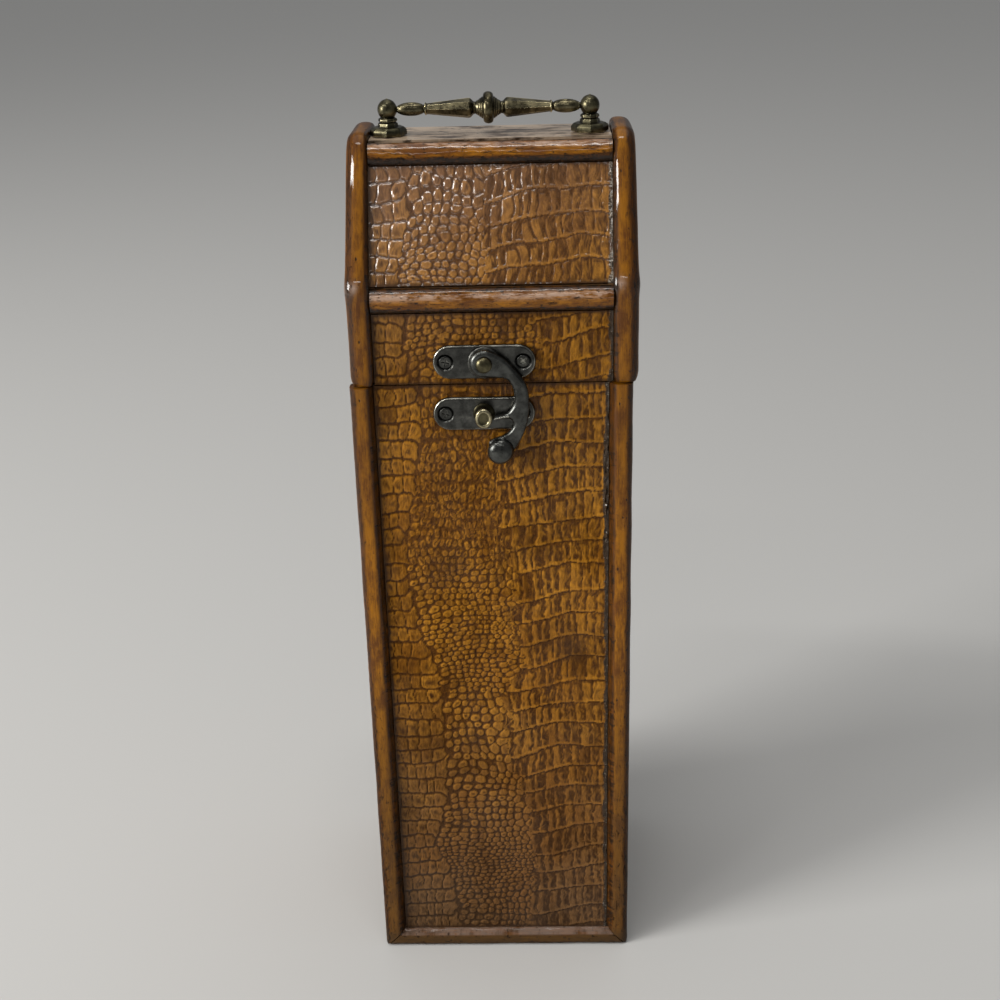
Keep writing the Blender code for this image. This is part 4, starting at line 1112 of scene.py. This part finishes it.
def hook_piece():
    """The cast hook: a flat crook with bevelled edges, a beak, and a ball to pull it by."""
    outline = hook_outline()
    way = np.roll(outline, -1, axis=0) - np.roll(outline, 1, axis=0)
    normal = unit(np.stack([-way[:, 1], way[:, 0]], axis=1))
    offset = outline[None] - outline[:, None]
    facing = np.maximum((offset * normal[:, None]).sum(2), 1e-6)
    room = np.where(facing > 0.02, (offset ** 2).sum(2) / (2 * facing), np.inf).min(axis=1)
    rings = []
    for inset, rise in ((0.5, 0), (0, 0.5), (0, 1.05), (0.25, 1.5), (0.7, 1.9), (1.15, 2.15), (1.5, 2.2)):
        moved = outline + normal * np.minimum(inset, room * 0.8)[:, None]
        rings.append([(pivot_x + x * MM, hook_back - rise * MM, pivot_z + z * MM) for x, z in moved])
    piece = skin("latch_hook_shown", rings)
    pick(hook_ball(), piece)
    bpy.ops.object.join()
    apply(piece, "REMESH", mode="VOXEL", voxel_size=0.2 * MM)
    apply(piece, "SMOOTH", factor=0.5, iterations=14)
    hole = [(-1, 0), (-1, 1.9), (4, 1.9), (4, 0)]
    cut(piece, turned("hole", hole, (pivot_x, hook_back, pivot_z), (0, -1, 0), 32))
    write_age_by_curvature(piece, 260, 900)
    finish_piece(piece, hook_steel, "hook", angle=60)


def stud_piece():
    """The keeper's stud: a flared foot, a neck and an oval head with a thick rim round a hollow."""
    profile = ease([(0, 0), (0, 1.6), (1.8, 1.6), (1.8, 4.4), (2.3, 3.6), (2.6, 2.2), (2.8, 1.2),
                    (5.5, 1.2), (5.5, 2.3), (5.8, 3.0), (7.0, 3.4), (8.1, 3.35), (8.6, 3.0),
                    (8.75, 2.6), (8.6, 2.2), (8.3, 1.9), (8.25, 0)])
    head_from, oval = 5.4, 1.2

    def shape(height, angles):
        stretch = oval if height > head_from else 1
        return 1 / np.sqrt(np.cos(angles) ** 2 + (np.sin(angles) / stretch) ** 2)

    piece = turned("keeper_post_shown", profile, (keeper_x, plate_back, stud_z), (0, -1, 0), 64, shape)
    across, deep, up = ((points_of(piece) - (keeper_x, plate_back, stud_z)) / MM).T
    away = np.hypot(across, up / oval)
    sunk = (away < 2.0) & (deep < -7)
    write_age(piece, 0.7 * smooth_step(7.4, 8.2, -deep) * (away > 2.1),
              np.where(sunk, 0.22, smooth_step(head_from, 4.6, -deep) * 0.8))
    finish_piece(piece, stud_brass, "box", angle=50)


def rivet_piece():
    """The rivet that the hook turns on."""
    start = (plate_back - hook_front) / MM + 0.3
    profile = [(0, 0), (0, 1.6), (start, 1.6), (start, 3.2)]
    profile += [(start + 0.2 + 1.7 * math.sin(t), 3.2 * math.cos(t))
                for t in np.linspace(0, QUARTER, 12)[:-1]]
    profile += [(start + 1.9, 0)]
    piece = turned("latch_rivet_shown", profile, (pivot_x, plate_back, pivot_z), (0, -1, 0), 48)
    write_age(piece)
    finish_piece(piece, stud_brass, "lid", angle=50)


def latch():
    """Both plates, their screws, the hook, its rivet and the stud."""
    latch_plate("latch_plate", pivot_x, pivot_z, "lid", True)
    latch_plate("keeper_plate", keeper_x, keeper_z, "box", False)
    for prefix, x, z, body in (("latch_plate_screw", pivot_x, pivot_z, "lid"),
                               ("keeper_plate_screw", keeper_x, keeper_z, "box")):
        for side, word in SIDES:
            latch_screw(f"{prefix}_{word}", x + side * screw_reach, z, body)
    hook_piece()
    stud_piece()
    rivet_piece()


# Hinge screws and handle


def hinge_screws():
    """The hinges' round-head screws: one is shaped, the others are copies of it."""
    across, up = 7.5 * MM, 10.2 * MM
    profile = [(-1, 0), (-1, 1.1), (0, 1.1), (0, 2.2)]
    profile += [(1.1 * math.sin(t), 2.2 * math.cos(t)) for t in np.linspace(0.15, QUARTER, 8)[:-1]]
    profile += [(1.1, 0)]
    first = turned("screw", profile, (0, leaf_front, hinge_z), (0, 1, 0), 32)
    cut(first, slot_tool((0, leaf_front + 1.1 * MM, hinge_z), (4.8, 1.1, 0.55)))
    for hinge_side, hinge_word in SIDES:
        hinge = hinge_side * hinge_reach
        for body, up_way in (("box", -1), ("lid", 1)):
            for side, word in SIDES:
                pick(first)
                bpy.ops.object.duplicate()
                piece = bpy.context.object
                piece.name = piece.data.name = f"hinge_{hinge_word}_{body}_screw_{word}"
                edit(piece)
                bpy.ops.transform.rotate(value=0.4 * side + up_way * 0.9 + hinge / MM, orient_axis="Y",
                                         center_override=(0, leaf_front, hinge_z))
                bpy.ops.transform.translate(value=(hinge + side * across, 0, up_way * up))
                bpy.ops.object.mode_set(mode="OBJECT")
                write_age(piece, 0.3)
                finish_piece(piece, stud_brass, body, angle=40)
    bpy.data.objects.remove(first, do_unlink=True)


def handle_post(side, word):
    """A handle post: octagonal foot, faceted neck of two rings and a slightly pointed ball."""
    profile = ease([(0, 0), (0, 7.4), (2.0, 7.4), (3.2, 6.3), (3.25, 4.2), (3.4, 4.0), (4.6, 3.9),
                    (4.9, 3.3), (5.2, 3.35), (5.4, 3.8), (6.3, 3.7), (6.6, 3.1)], 3)
    profile += [(9.75 + 4.0 * math.sin(t), 3.85 * math.cos(t))
                for t in np.linspace(-0.78, QUARTER, 18)[:-1]]
    profile += [(13.95, 0.2), (14.0, 0)]
    foot_top, neck_top = 4.75, 6.7

    def shape(height, angles):
        if height < neck_top:
            return facet(8, 0 if height < foot_top else 0.2)(angles)
        front = (angles + 3 * QUARTER) % (2 * math.pi) - math.pi
        return 1 + 0.022 * hump(front, 0, 0.09)

    place = (handle_x + side * post_reach, handle_y, foot_z)
    piece = turned(f"handle_post_{word}_shown", profile, place, (0, 0, 1), 96, shape)
    write_age_by_curvature(piece, 350, 1800)
    finish_piece(piece, post_brass, "lid", angle=32)


def handle_bar():
    """The turned bar: pins, slotted beads, eight-sided tapers, coves, rings and a centre bead."""
    half = (post_reach - gap) / MM - 3.9
    pin = [(half + 2.6, 0), (half + 2.6, 1.2), (half, 1.2), (half, 1.5)]
    bead = [(half - 5.2 + 5.3 * math.cos(t), 2.6 * math.sin(t) ** 0.6)
            for t in np.linspace(0.5, math.pi - 0.42, 14)]
    body = [(25.0, 1.9), (24.8, 2.4), (24.4, 2.4), (24.2, 2.05), (7.9, 3.8), (7.2, 3.75), (6.5, 3.2),
            (5.9, 2.45), (5.0, 2.25), (4.6, 2.7), (4.25, 2.75), (4.1, 3.0), (3.6, 3.1), (3.45, 3.5),
            (2.9, 3.65), (2.6, 4.05), (2.1, 4.15), (1.95, 4.7)]
    middle = [(1.95 * math.cos(t), 4.75 + 1.35 * math.sin(t)) for t in np.linspace(0.15, QUARTER, 6)]
    right = pin + bead + ease(body, 3) + middle
    profile = [(-height, radius) for height, radius in right[:-1]] + right[::-1]
    corners = facet(8, 0.06)

    def shape(height, angles):
        far = abs(height)
        share = np.ones_like(angles)
        turn = np.abs((angles + QUARTER) % math.pi - QUARTER)
        if 5.6 < far < 24.6:
            share = corners(angles)
        elif 24.9 < far < half:
            along = (far - (half - 5.4)) / 3.6
            line = np.abs(turn - 0.34 * max(0.0, 1 - along ** 2) ** 0.5)
            share = 1 - 0.13 * np.exp(-(along ** 2) * 1.2) * hump(line, 0, 0.13)
        return share * (1 + 0.012 * hump(turn, 0, 0.05))

    piece = turned("handle_bar_shown", profile, (handle_x, handle_y, bar_z), (1, 0, 0), 96, shape)
    write_age_by_curvature(piece, 350, 2200)
    finish_piece(piece, brass, "handle", angle=32)


# Floor, light and camera


def stage_floor():
    """A plain pale floor."""
    deselect()
    bpy.ops.mesh.primitive_plane_add(size=30)
    floor = bpy.context.object
    floor.name = "floor"
    paint(floor, Finish("floor_paint", Base_Color=(0.56, 0.555, 0.54, 1), Roughness=0.85))


def area_light(name, place, target, size, power, up=(0, 0, 1)):
    """A soft box that looks at a point, its height along a given direction."""
    deselect()
    bpy.ops.object.light_add(type="AREA", location=place)
    lamp = bpy.context.object
    lamp.name = name
    lamp.data.shape = "RECTANGLE"
    lamp.data.size, lamp.data.size_y = size
    lamp.data.energy = power
    lamp.data.color = (1, 0.985, 0.96)
    back = (Vector(place) - Vector(target)).normalized()
    side = Vector(up).cross(back).normalized()
    lamp.rotation_euler = Matrix((side, back.cross(side), back)).transposed().to_euler()


def lights():
    """A window at the left, strips of light that the mouldings mirror, and a soft sky."""
    area_light("window", (-2.30, -1.05, 0.95), (0, -0.03, 0.24), (1.0, 0.9), 65)
    area_light("high_light", (-0.12, -0.60, 3.00), (0, 0, 0.34), (1.0, 0.30), 14, (0, -1, 0))
    area_light("front_light", (-0.28, -2.15, 2.15), (0, -0.04, 0.32), (1.3, 0.12), 5)
    area_light("strip_light", (-1.235, -0.944, 1.965), (0, -0.03, 0.345), (0.9, 0.065), 11,
               (0, math.cos(roof_angle), math.sin(roof_angle)))
    deselect()
    bpy.ops.object.light_add(type="SUN", rotation=(math.radians(-12), 0, 0))
    sky_light = bpy.context.object
    sky_light.name = "sky_light"
    sky_light.data.energy, sky_light.data.angle = 0.52, math.radians(60)
    world = bpy.data.worlds.new("studio")
    bpy.context.scene.world = world
    world.use_nodes = True
    background = world.node_tree.nodes["Background"]
    background.inputs["Color"].default_value = (0.94, 0.95, 0.96, 1)
    background.inputs["Strength"].default_value = 0.19


def photo_camera():
    """The photograph's camera, fitted to the corners of the box."""
    place = (18.015 * MM, -588.377 * MM, 447.547 * MM)
    yaw, pitch, roll = math.radians(-1.669), math.radians(22.778), math.radians(-1.521)
    sensor, focal_share = 36, 1.450857
    deselect()
    bpy.ops.object.camera_add()
    camera = bpy.context.object
    camera.data.sensor_width = sensor
    camera.data.lens = sensor * focal_share
    camera.matrix_world = (Matrix.Translation(place) @ Matrix.Rotation(-yaw, 4, "Z")
                           @ Matrix.Rotation(QUARTER - pitch, 4, "X") @ Matrix.Rotation(roll, 4, "Z"))
    bpy.context.scene.camera = camera


# Build


def node_finish(name):
    """The finish of a node of the frame."""
    if name == "lid_top_board":
        return top_wood
    if name.startswith("hinge"):
        return stud_brass
    if name.startswith(("handle_post", "handle_bar", "latch_rivet", "keeper_post")):
        return brass
    for word, finish in (("felt", felt), ("board", pine), ("leather", leather), ("strip", wood),
                         ("rim", wood), ("rail", wood)):
        if word in name:
            return finish
    return gunmetal


for name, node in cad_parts.items():
    paint(node, node_finish(name))

case_mouldings()
lid_mouldings()
case_leather()
lid_leather()
latch()
hinge_screws()
for side, word in SIDES:
    handle_post(side, word)
handle_bar()

stage_floor()
lights()
bpy.context.scene.view_settings.view_transform = "Standard"
photo_camera()
